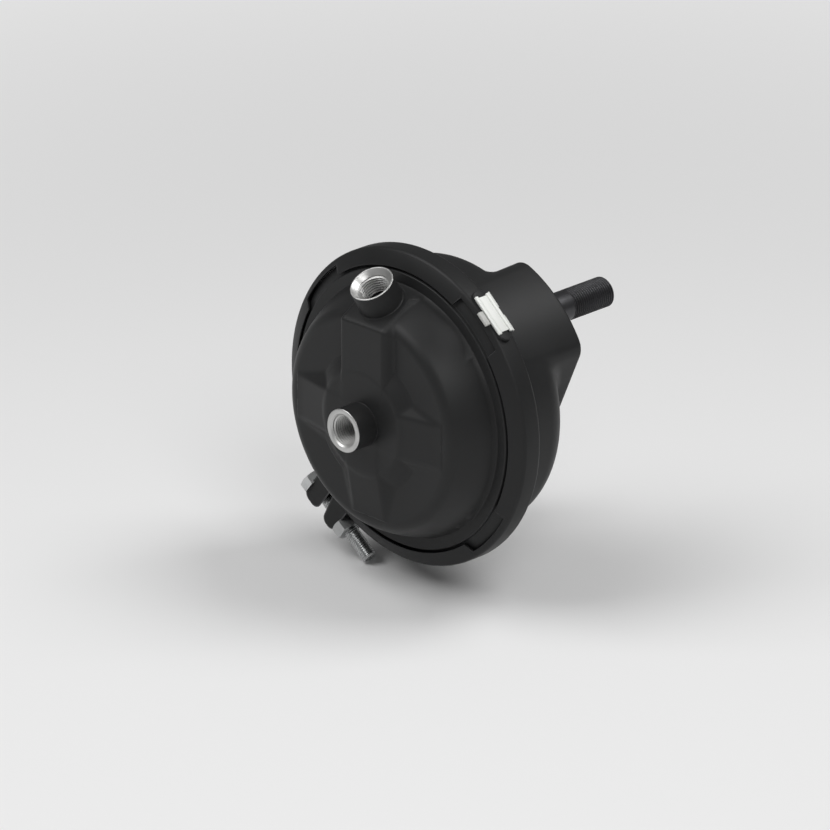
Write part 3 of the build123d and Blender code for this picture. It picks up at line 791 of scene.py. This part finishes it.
def boss_profile(height, countersink):
    """Closed half profile of a boss; z 0 is its face, and below is negative."""
    foot = -height - 3.0
    corners = [
        (countersink, 0.0), (BOSS_RADIUS, 0.0), (BOSS_RADIUS, -height),
        (SPIGOT_RADIUS, -height), (SPIGOT_RADIUS, foot), (PORT_PASSAGE, foot),
        (PORT_PASSAGE, -BORE_END - 1.5), (PORT_BORE, -BORE_END),
        (PORT_BORE, PORT_BORE - countersink),
    ]
    return rounded(corners, [0.25, 0.6, 0, 0, 0, 0, 0.2, 0.2, 0.25], steps=3)


def paint_boss(mesh, label, to_place):
    """Coating on a boss, with its face and bore left as machined."""
    for name in ("boss coating", "machined " + label):
        mesh.materials.append(bpy.data.materials[name])
    for polygon in mesh.polygons:
        spot = to_place @ (polygon.center / MM)
        polygon.material_index = int(spot.z > -0.35
                                     or spot.xy.length < BOSS_RADIUS - 0.7)


def build_weld(label, place):
    """Brazed fillet round the foot of a boss."""
    profile = [(WELD_ROOT + WELD_RADIUS * (1 - sin(a)),
                -0.3 + WELD_RADIUS * (1 - cos(a)))
               for a in np.linspace(0, pi / 2, 7)]
    profile += [(WELD_ROOT, -0.5), (BOSS_RADIUS + 1.5, -0.5)]
    mesh = lathe(label + "_port_weld", profile, place, sharp=60)
    add_piece(mesh, "boss coating")


class CHAMBER_OT_ports(ToolOperator):
    """Builds the two threaded ports and their threads"""

    bl_idname = "chamber.ports"
    bl_label = "Air ports"

    def execute(self, context):
        build_ports(context.scene)
        return {"FINISHED"}


# ---- Rear housing ----

BOWL_RADIUS = 71.5
BOWL_SHOULDER = 14.0
BOWL_BACK = -14.5
LUG_END = 73.0
LUG_HALF_WIDTH = 49.0
LUG_TAPER = radians(17.5)
LUG_CORNER = 10.0
LUG_DRAFT = tan(radians(2.0))
LUG_BLEND = 8.0
DRAIN_ANGLE, DRAIN_Y, DRAIN_RADIUS = 269.0, -36.0, 4.0
SKIN_COLUMNS, SKIN_ROWS = 480, 96
# The skin is found along rays from this circle of (radius, y) inside the wall.
PIVOT_R, PIVOT_Y = 36.0, -36.0


def bowl_gap(radius, y):
    """Distance outside the bowl, and how far its surface looks outwards."""
    over_r = radius - (BOWL_RADIUS - BOWL_SHOULDER)
    over_y = y - (BOWL_BACK - BOWL_SHOULDER)
    turned = np.hypot(over_r, over_y)
    gap = np.where(over_r <= 0, y - BOWL_BACK,
                   np.where(over_y <= 0, radius - BOWL_RADIUS, turned - BOWL_SHOULDER))
    outward = np.where(over_r <= 0, 0.0, np.where(over_y <= 0, 1.0, over_r / turned))
    return gap, outward


def lug_gap(point):
    """Distance of complex points outside the mounting flange's outline, and its
    normal there."""
    point = np.abs(point.real) + 1j * np.abs(point.imag)
    lean = pi / 2 - LUG_TAPER
    side = LUG_HALF_WIDTH * cos(LUG_TAPER)
    gap = (point * exp(-1j * lean)).real - side
    normal = np.full_like(point, exp(1j * lean))
    inner = LUG_END - LUG_CORNER
    start = lean - acos((side - LUG_CORNER) / inner)
    end = inner * exp(1j * start)
    for centre, first, last in ((end, start, lean),
                                (1j * (side - LUG_CORNER) / cos(LUG_TAPER), lean, pi)):
        off = point - centre
        reach = np.maximum(np.abs(off), 1e-6)
        angle = np.angle(off)
        here = (angle >= first) & (angle <= last) & (reach > LUG_CORNER / 2)
        gap = np.where(here, reach - LUG_CORNER, gap)
        normal = np.where(here, off / reach, normal)
    here = (np.angle(point - end) < start) & (np.angle(point) < start + 0.05)
    size = np.abs(point)
    return np.where(here, size - LUG_END, gap), np.where(here, point / size, normal)


def skin_gap(angle, radius, y):
    """Distance outside the rear housing's skin: bowl and flange, blended."""
    lug, normal = lug_gap(radius * np.exp(1j * angle))
    lug = lug - y * LUG_DRAFT
    bowl, outward = bowl_gap(radius, y)
    facing = (normal.real * np.abs(np.cos(angle)) + normal.imag * np.abs(np.sin(angle)))
    half = np.sqrt((1 + np.clip(facing * outward, -1, 1)) / 2)
    width = LUG_BLEND * (1 - half) / (1 - sqrt(0.5))
    both = np.hypot(np.maximum(width - bowl, 0), np.maximum(width - lug, 0))
    return np.maximum(np.minimum(bowl, lug), width) - both


def surface_reach(gap, start, end):
    """How far along each ray a gap turns positive, by halving start to end."""
    for _ in range(40):
        middle = (start + end) / 2
        outside = gap(middle) > 0
        start, end = np.where(outside, start, middle), np.where(outside, middle, end)
    return start


def skin_rows(angles):
    """Rings of (radius, y) from the flange root to the mounting face."""
    turned = angles - radians(CLOCK_ANGLE)
    top = surface_reach(lambda reach: lug_gap(reach * np.exp(1j * turned))[0],
                        np.full_like(angles, 40.0), np.full_like(angles, 90.0))
    first = atan2(SPLIT_Y + 8.0 - PIVOT_Y, BOWL_RADIUS - PIVOT_R)
    last = np.arctan2(-PIVOT_Y, top - PIVOT_R)
    aim = first + (last - first) * np.linspace(0, 1, SKIN_ROWS)[:, None]
    reach = surface_reach(
        lambda reach: skin_gap(np.broadcast_to(turned, aim.shape),
                               PIVOT_R + reach * np.cos(aim),
                               PIVOT_Y + reach * np.sin(aim)),
        np.zeros_like(aim), np.full_like(aim, 70.0))
    radius = PIVOT_R + reach * np.cos(aim)
    y = np.minimum(PIVOT_Y + reach * np.sin(aim), 0.0)
    radius[-1], y[-1] = radius[-1] - 0.15, -0.5
    soft_edge = [(radius[-1] - 0.35, -0.15), (radius[-1] - 0.9, 0.0)]
    return list(zip(radius, y)) + soft_edge


def build_rear_housing(scene):
    angles = turns(SKIN_COLUMNS)
    rows = skin_rows(angles) + rear_inside()
    faces = grid_faces(len(rows), SKIN_COLUMNS, wrap_rows=True)
    mesh = build("rear_shell", round_y(spun(rows, angles)), faces, sharp=38)
    add_piece(cut_hole(mesh), "shell coating", replaces="rear_housing")


def rear_inside():
    """Half profile from the seal's groove through the mouth to the flange."""
    corners = [(34.65, 0.0), (34.65, -2.25), (31.35, -2.25), (31.35, 0.0),
               (26.0, 0.0), (26.0, -8.0), (45.5, -8.0), (45.5, -18.0),
               (68.0, -18.0), (68.0, SPLIT_Y + 1.2), (FLANGE_RADIUS, SPLIT_Y + 1.2),
               (FLANGE_RADIUS, SPLIT_Y + 4.4), (74.2, SPLIT_Y + 7.1),
               (BOWL_RADIUS, SPLIT_Y + 7.4)]
    radii = [0.2, 0.3, 0.3, 0.2, 0.8, 0.5, 0.5, 0.5, 10.5, 0, 0.4, 0.6, 0.5, 0]
    return rounded(corners, radii, steps=4)


def cut_hole(mesh):
    """The mesh with the drain hole through its wall, drilled towards the axis."""
    edge = [(0.0, 0.0), (DRAIN_RADIUS, 0.0), (DRAIN_RADIUS, 16.0), (0.0, 16.0)]
    place = radial_place(DRAIN_ANGLE, BOWL_RADIUS - 8.0, DRAIN_Y)
    drill = add_object("drill", lathe("drill", edge, place, columns=40, closed=False,
                                      sharp=30))
    whole = add_object("whole", mesh)
    cut = whole.modifiers.new("cut", "BOOLEAN")
    cut.operation, cut.object, cut.solver = "DIFFERENCE", drill, "EXACT"
    return bake(mesh.name, whole, drill)


class CHAMBER_OT_rear_housing(ToolOperator):
    """Builds the rear housing: the bowl, the mounting flange and its mouth"""

    bl_idname = "chamber.rear_housing"
    bl_label = "Rear housing"

    def execute(self, context):
        build_rear_housing(context.scene)
        return {"FINISHED"}


# ---- Clamp band ----

NOTCH_HALF_ANGLE = 12.0
NOTCH_ANGLES = (CLOCK_ANGLE + 360, CLOCK_ANGLE + 450, CLOCK_ANGLE + 270)
EAR_END, EAR_WIDTH = 5.6, 10.5
LABEL_PAD_RADIUS, LABEL_PAD_LENGTH = 4.5, 30.0


def build_clamp_band(scene):
    sizes = scene.chamber_band
    gap_turn = degrees(sizes.gap / 2 / BAND_RADIUS)
    start, stop = CLAMP_ANGLE + gap_turn, CLAMP_ANGLE + 360 - gap_turn
    marks = set(np.linspace(start, stop, 300))
    for notch in NOTCH_ANGLES:
        for edge in (notch - NOTCH_HALF_ANGLE, notch + NOTCH_HALF_ANGLE):
            marks |= set(np.linspace(edge - 1.4, edge + 1.4, 15))
    angles = sorted(a for a in marks if start <= a <= stop)
    points = []
    for angle in angles:
        inside = NOTCH_HALF_ANGLE - min(abs(angle - notch) for notch in NOTCH_ANGLES)
        cut = float(smooth_step(inside, -0.6, 0.6))
        tip = sizes.lip_radius + (sizes.notch_radius - sizes.lip_radius) * cut
        outline = band_section(tip, sizes.thickness)
        out = clock_vector(angle)
        points += [(r * out.x, SPLIT_Y + h, r * out.z) for r, h in outline]
    faces = tube_faces(len(angles), len(outline))
    mesh = build("band", points, faces, sharp=45, merge=0)
    add_piece(mesh, "band coating", replaces="clamp_band")
    build_ears(sizes)
    build_label_pad()


def band_section(tip, thickness):
    """Closed section of the band whose lips reach in to a radius."""
    inner_r = tip + thickness * sin(LIP_LEAN)
    inner_h = lip_height(tip) - thickness * cos(LIP_LEAN)
    crest_r = BAND_RADIUS - thickness
    crest_h = max(lip_height(crest_r, thickness), 0.6)
    front = [(BAND_RADIUS, LIP_ROOT), (tip, lip_height(tip)), (inner_r, inner_h),
             (crest_r, crest_h)]
    radii = [2.2, 0.8, 0.6, 0.8]
    return rounded(front + [(r, -h) for r, h in front[::-1]], radii + radii[::-1])


def build_ears(sizes):
    """Two ears for the clamp bolt, rounded at their outer ends."""
    place = raised(clamp_place(), -EAR_WIDTH / 2)
    root, near = BAND_RADIUS - 1.6 - BOLT_CIRCLE, sizes.gap / 2
    lean = (EAR_END - root) * tan(radians(11.0))
    head = [(root, -near), (EAR_END, -near), (EAR_END, -HEAD_SEAT), (root, -HEAD_SEAT)]
    nut = [(root, near), (root, NUT_SEAT), (EAR_END, NUT_SEAT), (EAR_END, near + lean)]
    for name, corners, radii in (("head_ear", head, [0, 3.6, 3.2, 0]),
                                 ("nut_ear", nut, [0, 0, 3.6, 3.0])):
        mesh = prism(name, rounded(corners, radii, steps=7), EAR_WIDTH, place, 1.1,
                     steps=3, sharp=50)
        add_piece(mesh, "band coating")


def build_label_pad():
    """Raised obround pad under the label."""
    place = radial_place(CLOCK_ANGLE, BAND_RADIUS - 1.0, SPLIT_Y)
    half = LABEL_PAD_LENGTH / 2 - LABEL_PAD_RADIUS
    outline = [(LABEL_PAD_RADIUS * cos(a), shift + LABEL_PAD_RADIUS * sin(a))
               for shift, first in ((half, 0.0), (-half, pi))
               for a in np.linspace(first, first + pi, 17)]
    mesh = prism("label_pad", outline, 1.9, place, 0.4, sharp=50)
    add_piece(mesh, "band coating")


class CHAMBER_OT_clamp_band(ToolOperator):
    """Builds the clamp band with its notches, ears and label pad"""

    bl_idname = "chamber.clamp_band"
    bl_label = "Clamp band"

    def execute(self, context):
        build_clamp_band(context.scene)
        return {"FINISHED"}


# ---- Clamp bolt ----

BOLT_TIP, BOLT_CORE = 36.6, 3.42
HEAD_HEIGHT, NUT_HEIGHT, HEX_FLATS, NUT_BORE = 5.3, 6.5, 13.0, 3.5


def build_clamp_bolt(scene):
    clamp = clamp_place()
    place = axis_frame(clamp.to_translation(), clamp.col[1].to_3d(),
                       clamp.col[0].to_3d())
    root = -HEAD_SEAT - 0.5
    head = hexagon("bolt_head", place, -HEAD_SEAT - HEAD_HEIGHT, -HEAD_SEAT)
    shank = rounded([(0.0, root), (BOLT_CORE, root), (BOLT_CORE, BOLT_TIP - 0.4),
                     (3.0, BOLT_TIP), (0.0, BOLT_TIP)], [0, 0, 0, 0.2, 0], steps=3)
    core = lathe("bolt_core", shank, place, columns=48, closed=False)
    bolt = join("band_bolt", head, core)
    add_piece(bolt, "zinc plate", replaces="clamp_bolt")
    thread("band_bolt_thread", raised(place, 4 - HEAD_SEAT), 3.4, 0.6,
           scene.chamber_threads.bolt_pitch, BOLT_TIP + HEAD_SEAT - 4.4, "zinc plate",
           36)
    nut = hexagon("band_nut", place, NUT_SEAT, NUT_SEAT + NUT_HEIGHT, NUT_BORE)
    add_piece(nut, "zinc plate", replaces="clamp_nut")


def hexagon(name, place, start, end, bore=0.0):
    """Solid head, chamfered at its start, or a bored nut, chamfered at both ends."""
    angles = turns(96)
    corner = HEX_FLATS / 2 / np.cos(angles % (pi / 3) - pi / 6)
    round_off = HEX_FLATS / 2 * 0.99
    chamfer = np.maximum(corner - round_off, 0) * tan(radians(30))
    flat = (bore, round_off * 0.92, round_off * 0.97)
    rows = [(r, start) for r in flat] + [(corner, start + chamfer)]
    rows += [(corner, end - chamfer if bore else end)]
    rows += [(r, end) for r in flat[::-1]]
    faces = grid_faces(len(rows), len(angles), wrap_rows=bore > 0)
    return build(name, spun(rows, angles), faces, place=place, sharp=20)


def join(name, *meshes):
    """One mesh from several."""
    bm = bmesh.new()
    for mesh in meshes:
        bm.from_mesh(mesh)
        bpy.data.meshes.remove(mesh)
    joined = bpy.data.meshes.new(name)
    bm.to_mesh(joined)
    bm.free()
    return joined


class CHAMBER_OT_clamp_bolt(ToolOperator):
    """Builds the clamp bolt, its nut and their threads"""

    bl_idname = "chamber.clamp_bolt"
    bl_label = "Clamp bolt"

    def execute(self, context):
        build_clamp_bolt(context.scene)
        return {"FINISHED"}


# ---- Label clip ----

# Bars of the clip in its own frame: x along the push rod, y round the band and z
# out of it, each from a low to a high end. Those that replace a node name it.
LABEL_BARS = (
    ("label_clip", (-4.75, 4.75), (-10.05, 10.05), (0.0, 0.75), "label_holder"),
    ("label_front_rail", (-4.75, -2.85), (-11.35, 11.35), (0.2, 1.35), None),
    ("label_rear_rail", (2.85, 4.75), (-11.35, 11.35), (0.2, 1.35), None),
    ("label_insert", (-2.55, 2.55), (-10.45, 10.45), (0.7, 1.05), "label_strip"),
    ("label_tab", (-8.15, -5.25), (-4.3, 3.4), (-0.9, 0.6), None),
    ("label_tab_neck", (-5.65, -4.35), (-4.0, 3.1), (-0.4, 0.3), None),
    ("label_hook_upper", (5.65, 6.1), (2.6, 12.0), (-0.6, 0.5), None),
    ("label_hook_foot_upper", (4.55, 5.95), (5.6, 9.0), (-0.6, -0.2), None),
    ("label_hook_lower", (5.65, 6.1), (-11.6, -2.2), (-0.6, 0.5), None),
    ("label_hook_foot_lower", (4.55, 5.95), (-8.6, -5.2), (-0.6, -0.2), None),
)


def build_label(scene):
    place = radial_place(CLOCK_ANGLE, BAND_RADIUS + 0.9, SPLIT_Y)
    for name, (x0, x1), (y0, y1), (bottom, top), node in LABEL_BARS:
        outline = rounded([(x0, y0), (x1, y0), (x1, y1), (x0, y1)], 0.25, steps=3)
        mesh = prism(name, outline, top - bottom, raised(place, bottom), 0.14, sharp=60)
        material = "label tab" if "tab" in name else "label plastic"
        add_piece(mesh, material, replaces=node)


class CHAMBER_OT_label(ToolOperator):
    """Builds the blank label clip on the band"""

    bl_idname = "chamber.label"
    bl_label = "Label clip"

    def execute(self, context):
        build_label(context.scene)
        return {"FINISHED"}


# ---- Studs ----

STUD_SHANK, STUD_CORE, STUD_THREAD_START = 7.97, 7.12, 13.2


def build_studs(scene):
    profile = rounded([
        (0.0, -15.0), (9.5, -15.0), (9.5, -8.0), (8.85, -8.0), (8.85, 0.0),
        (STUD_SHANK, 0.0), (STUD_SHANK, 12.6), (STUD_CORE, 13.6),
        (STUD_CORE, STUD_TIP_Y - 1.0), (6.3, STUD_TIP_Y), (0.0, STUD_TIP_Y),
    ], [0, 0.5, 0.3, 0, 0, 0, 0.3, 0.2, 0.3, 0.3, 0], steps=3)
    for label, angle in (("upper", CLOCK_ANGLE), ("lower", CLOCK_ANGLE + 180)):
        out = clock_vector(angle)
        place = axis_frame(out * STUD_CIRCLE, (0, 1, 0), out)
        mesh = lathe(label + "_stud", profile, place, columns=64, closed=False)
        add_piece(mesh, "black phosphate",
                  replaces="mounting_stud_" + label)
        thread(label + "_stud_thread", raised(place, STUD_THREAD_START), 7.1, 0.88,
               scene.chamber_threads.stud_pitch, STUD_TIP_Y - STUD_THREAD_START - 1.0,
               "black phosphate", 44)


class CHAMBER_OT_studs(ToolOperator):
    """Builds the two mounting studs and their threads"""

    bl_idname = "chamber.studs"
    bl_label = "Mounting studs"

    def execute(self, context):
        build_studs(context.scene)
        return {"FINISHED"}


# ---- Rod side ----

MAIN_PLACE = axis_frame((0, 0, 0), (0, 1, 0), (1, 0, 0))
ROD_SIDE_FINISHES = {
    "push_rod": "rod steel", "pressure_plate": "pressed steel",
    "rod_collar": "pressed steel", "spring_seat": "pressed steel",
    "boot_clamp_ring": "spring steel", "boot_rod_ring": "spring steel",
    "face_seal": "seal rubber", "vent_plugs": "vent plastic",
}


def build_rod_side(scene):
    build_boot()
    build_spring()
    build_diaphragm()
    for node, material in ROD_SIDE_FINISHES.items():
        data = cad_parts[node].data
        data.materials.clear()
        data.materials.append(bpy.data.materials[material])


def build_boot():
    """Folded dust boot from the housing's mouth to the groove in the rod."""
    folds, rim_y, groove_y = 4, -4.0, -32.5
    outer, inner, half = 21.0, 13.0, 0.55
    step = (groove_y - rim_y) / (2 * folds)
    path = [(25.6, rim_y), (24.0, rim_y)]
    path += [(inner if i % 2 else outer, rim_y + i * step) for i in range(1, 2 * folds)]
    path += [(8.5, groove_y), (8.1, groove_y)]
    mesh = lathe("boot_bellows", thicken(path, 1.5, 5, half), MAIN_PLACE, sharp=50)
    piece = add_piece(mesh, "rubber", replaces="boot", body=None)
    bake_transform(piece)


def build_spring():
    """Conical coil spring of round wire, with closed end coils."""
    sides, wire = 10, 2.0
    first_y, last_y = span("return_spring", 1)
    start_y, end_y = first_y + 2.2, last_y - 2.2
    share = np.linspace(0, 1, 301)
    rise = 0.35 * share + 0.65 * smooth_step(share, 0.0, 1.0)
    radius, angle = 21.0 + 14.6 * share, 6.6 * 2 * pi * share
    line = np.stack([radius * np.cos(angle), start_y + (end_y - start_y) * rise,
                     radius * np.sin(angle)], axis=1)
    ahead = unit_steps(line)
    out = line * (1.0, 0.0, 1.0)
    up = np.cross(ahead, out / np.linalg.norm(out, axis=1)[:, None])
    up /= np.linalg.norm(up, axis=1)[:, None]
    out = np.cross(up, ahead)
    a = turns(sides)[:, None]
    ring = out[:, None] * np.cos(a) + up[:, None] * np.sin(a)
    points = (line[:, None] + wire * ring).reshape(-1, 3)
    mesh = build("coil_spring", points, tube_faces(len(line), sides), merge=0, sharp=50)
    piece = add_piece(mesh, "spring steel",
                      replaces="return_spring", body=None)
    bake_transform(piece)


def build_diaphragm():
    """Moulded diaphragm clamped between the two flanges."""
    centre_y = span("diaphragm", 1)[0] + 0.05
    path = [(0.0, centre_y + 1.2), (50.0, centre_y + 1.2), (56.0, centre_y + 6.0),
            (61.0, SPLIT_Y), (78.8, SPLIT_Y)]
    ring = thicken(path, [0, 6.0, 6.0, 2.6, 0], 8, 1.1)
    ring[:, 0] = np.maximum(ring[:, 0], 0.0)
    mesh = lathe("diaphragm_rubber", ring, MAIN_PLACE, closed=False, sharp=50)
    piece = add_piece(mesh, "rubber", replaces="diaphragm", body=None)
    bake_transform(piece)


class CHAMBER_OT_rod_side(ToolOperator):
    """Builds the moving side: spring, boot and diaphragm, and finishes the rod"""

    bl_idname = "chamber.rod_side"
    bl_label = "Rod side"

    def execute(self, context):
        build_rod_side(context.scene)
        return {"FINISHED"}


# ---- Stage ----

VIEW_BACK = Vector((0.6556, -0.6556, 0.3746)).normalized()
VIEW_TARGET = Vector((-9.43, -44.0, -11.3)) * MM
PIXELS_PER_METRE, PICTURE_WIDTH = 1987.0, 830.0
LENS, SENSOR = 300.0, 36.0
# Places are metres, and the floor fades from the first distance to the second.
FLOOR_HALF, FLOOR_DROP, FADE_START, FADE_END = 6.0, 0.0005, 0.4, 2.2
WORLD_LIGHT, WORLD_SEEN = 0.14, 1.0
LAMPS = (
    ("key", (-0.6, -1.0, 1.5), 1.3, 21.0),
    ("top", (0.6, 0.7, 1.5), 0.9, 14.0),
    ("fill", (1.2, -0.7, 1.2), 0.7, 8.0),
)
WHITE = (1.0, 1.0, 1.0, 1.0)


def add_aimed(name, data, location, back):
    """Object for a camera or a lamp that looks against a direction."""
    item = add_object(name, data)
    item.location = location
    item.rotation_mode = "QUATERNION"
    item.rotation_quaternion = back.to_track_quat("Z", "Y")
    return item


def build_stage(scene):
    add_camera(scene)
    add_floor(scene)
    add_world(scene)
    for name, where, size, power in LAMPS:
        data = bpy.data.lights.new(name, "AREA")
        data.size, data.energy = size, power
        add_aimed(name, data, where, Vector(where) - VIEW_TARGET)
    scene.view_settings.view_transform = "Standard"


def add_camera(scene):
    data = bpy.data.cameras.new("camera")
    data.lens, data.sensor_width, data.clip_end = LENS, SENSOR, 50
    reach = PICTURE_WIDTH * LENS / SENSOR / PIXELS_PER_METRE
    scene.camera = add_aimed("camera", data, VIEW_TARGET + VIEW_BACK * reach, VIEW_BACK)


def add_floor(scene):
    """Flat pale floor that fades into the white world far away."""
    top = CAD_BOX[0].z - FLOOR_DROP
    corners = [(x * FLOOR_HALF, y * FLOOR_HALF, top)
               for x, y in ((-1, -1), (1, -1), (1, 1), (-1, 1))]
    mesh = bpy.data.meshes.new("floor")
    mesh.from_pydata(corners, [], [(0, 1, 2, 3)])
    t, shader = new_material("floor paper")
    place = t.node("ShaderNodeNewGeometry").outputs["Position"]
    away = t.node("ShaderNodeVectorMath", {0: place}, operation="LENGTH")
    haze = t.ramp(away.outputs["Value"], 0.0, 1.0, FADE_START, FADE_END,
                  interpolation_type="SMOOTHSTEP")
    seen = t.node("ShaderNodeLightPath").outputs["Is Camera Ray"]
    t.feed(shader, {
        "Base Color": (*scene.chamber_finish.floor, 1.0), "Roughness": 0.9,
        "Emission Color": WHITE, "Emission Strength": t.times(haze, seen)})
    mesh.materials.append(bpy.data.materials["floor paper"])
    add_object("floor", mesh)


def add_world(scene):
    """Even white world, dimmer as light than as a backdrop."""
    world = bpy.data.worlds.new("studio")
    scene.world = world
    world.use_nodes = True
    t = Tree(world.node_tree)
    path = t.node("ShaderNodeLightPath").outputs
    seen = t.math("MAXIMUM", path["Is Camera Ray"], path["Is Transmission Ray"])
    strength = t.plus(t.times(seen, WORLD_SEEN - WORLD_LIGHT), WORLD_LIGHT)
    t.feed(world.node_tree.nodes["Background"], {"Color": WHITE, "Strength": strength})


class CHAMBER_OT_stage(ToolOperator):
    """Builds the floor, the lamps and the camera"""

    bl_idname = "chamber.stage"
    bl_label = "Studio"

    def execute(self, context):
        build_stage(context.scene)
        return {"FINISHED"}


class CHAMBER_PT_panel(bpy.types.Panel):
    """Lists the chamber's tools and sizes"""

    bl_label = "Brake chamber"
    bl_space_type = "VIEW_3D"
    bl_region_type = "UI"
    bl_category = "Brake chamber"

    def draw(self, context):
        for operator in OPERATORS:
            self.layout.operator(operator.bl_idname)
        for group_name in GROUPS:
            sizes = getattr(context.scene, group_name)
            box = self.layout.box()
            for key in sizes.bl_rna.properties.keys():
                if key not in ("rna_type", "name"):
                    box.prop(sizes, key)


OPERATORS = (
    CHAMBER_OT_finishes, CHAMBER_OT_pressure_housing, CHAMBER_OT_ports,
    CHAMBER_OT_rear_housing, CHAMBER_OT_clamp_band, CHAMBER_OT_clamp_bolt,
    CHAMBER_OT_label, CHAMBER_OT_studs, CHAMBER_OT_rod_side, CHAMBER_OT_stage,
)
GROUPS = {
    "chamber_shell": ShellSizes, "chamber_band": BandSizes,
    "chamber_threads": ThreadSizes, "chamber_finish": Finish,
}


def register():
    for name, group_class in GROUPS.items():
        bpy.utils.register_class(group_class)
        setattr(bpy.types.Scene, name, PointerProperty(type=group_class))
    for operator in OPERATORS:
        bpy.utils.register_class(operator)
    bpy.utils.register_class(CHAMBER_PT_panel)


def unregister():
    bpy.utils.unregister_class(CHAMBER_PT_panel)
    for operator in reversed(OPERATORS):
        bpy.utils.unregister_class(operator)
    for name, group_class in reversed(GROUPS.items()):
        delattr(bpy.types.Scene, name)
        bpy.utils.unregister_class(group_class)


def main():
    register()
    for operator in OPERATORS:
        tool, name = operator.bl_idname.split(".")
        getattr(getattr(bpy.ops, tool), name)()


if __name__ == "__main__":
    main()
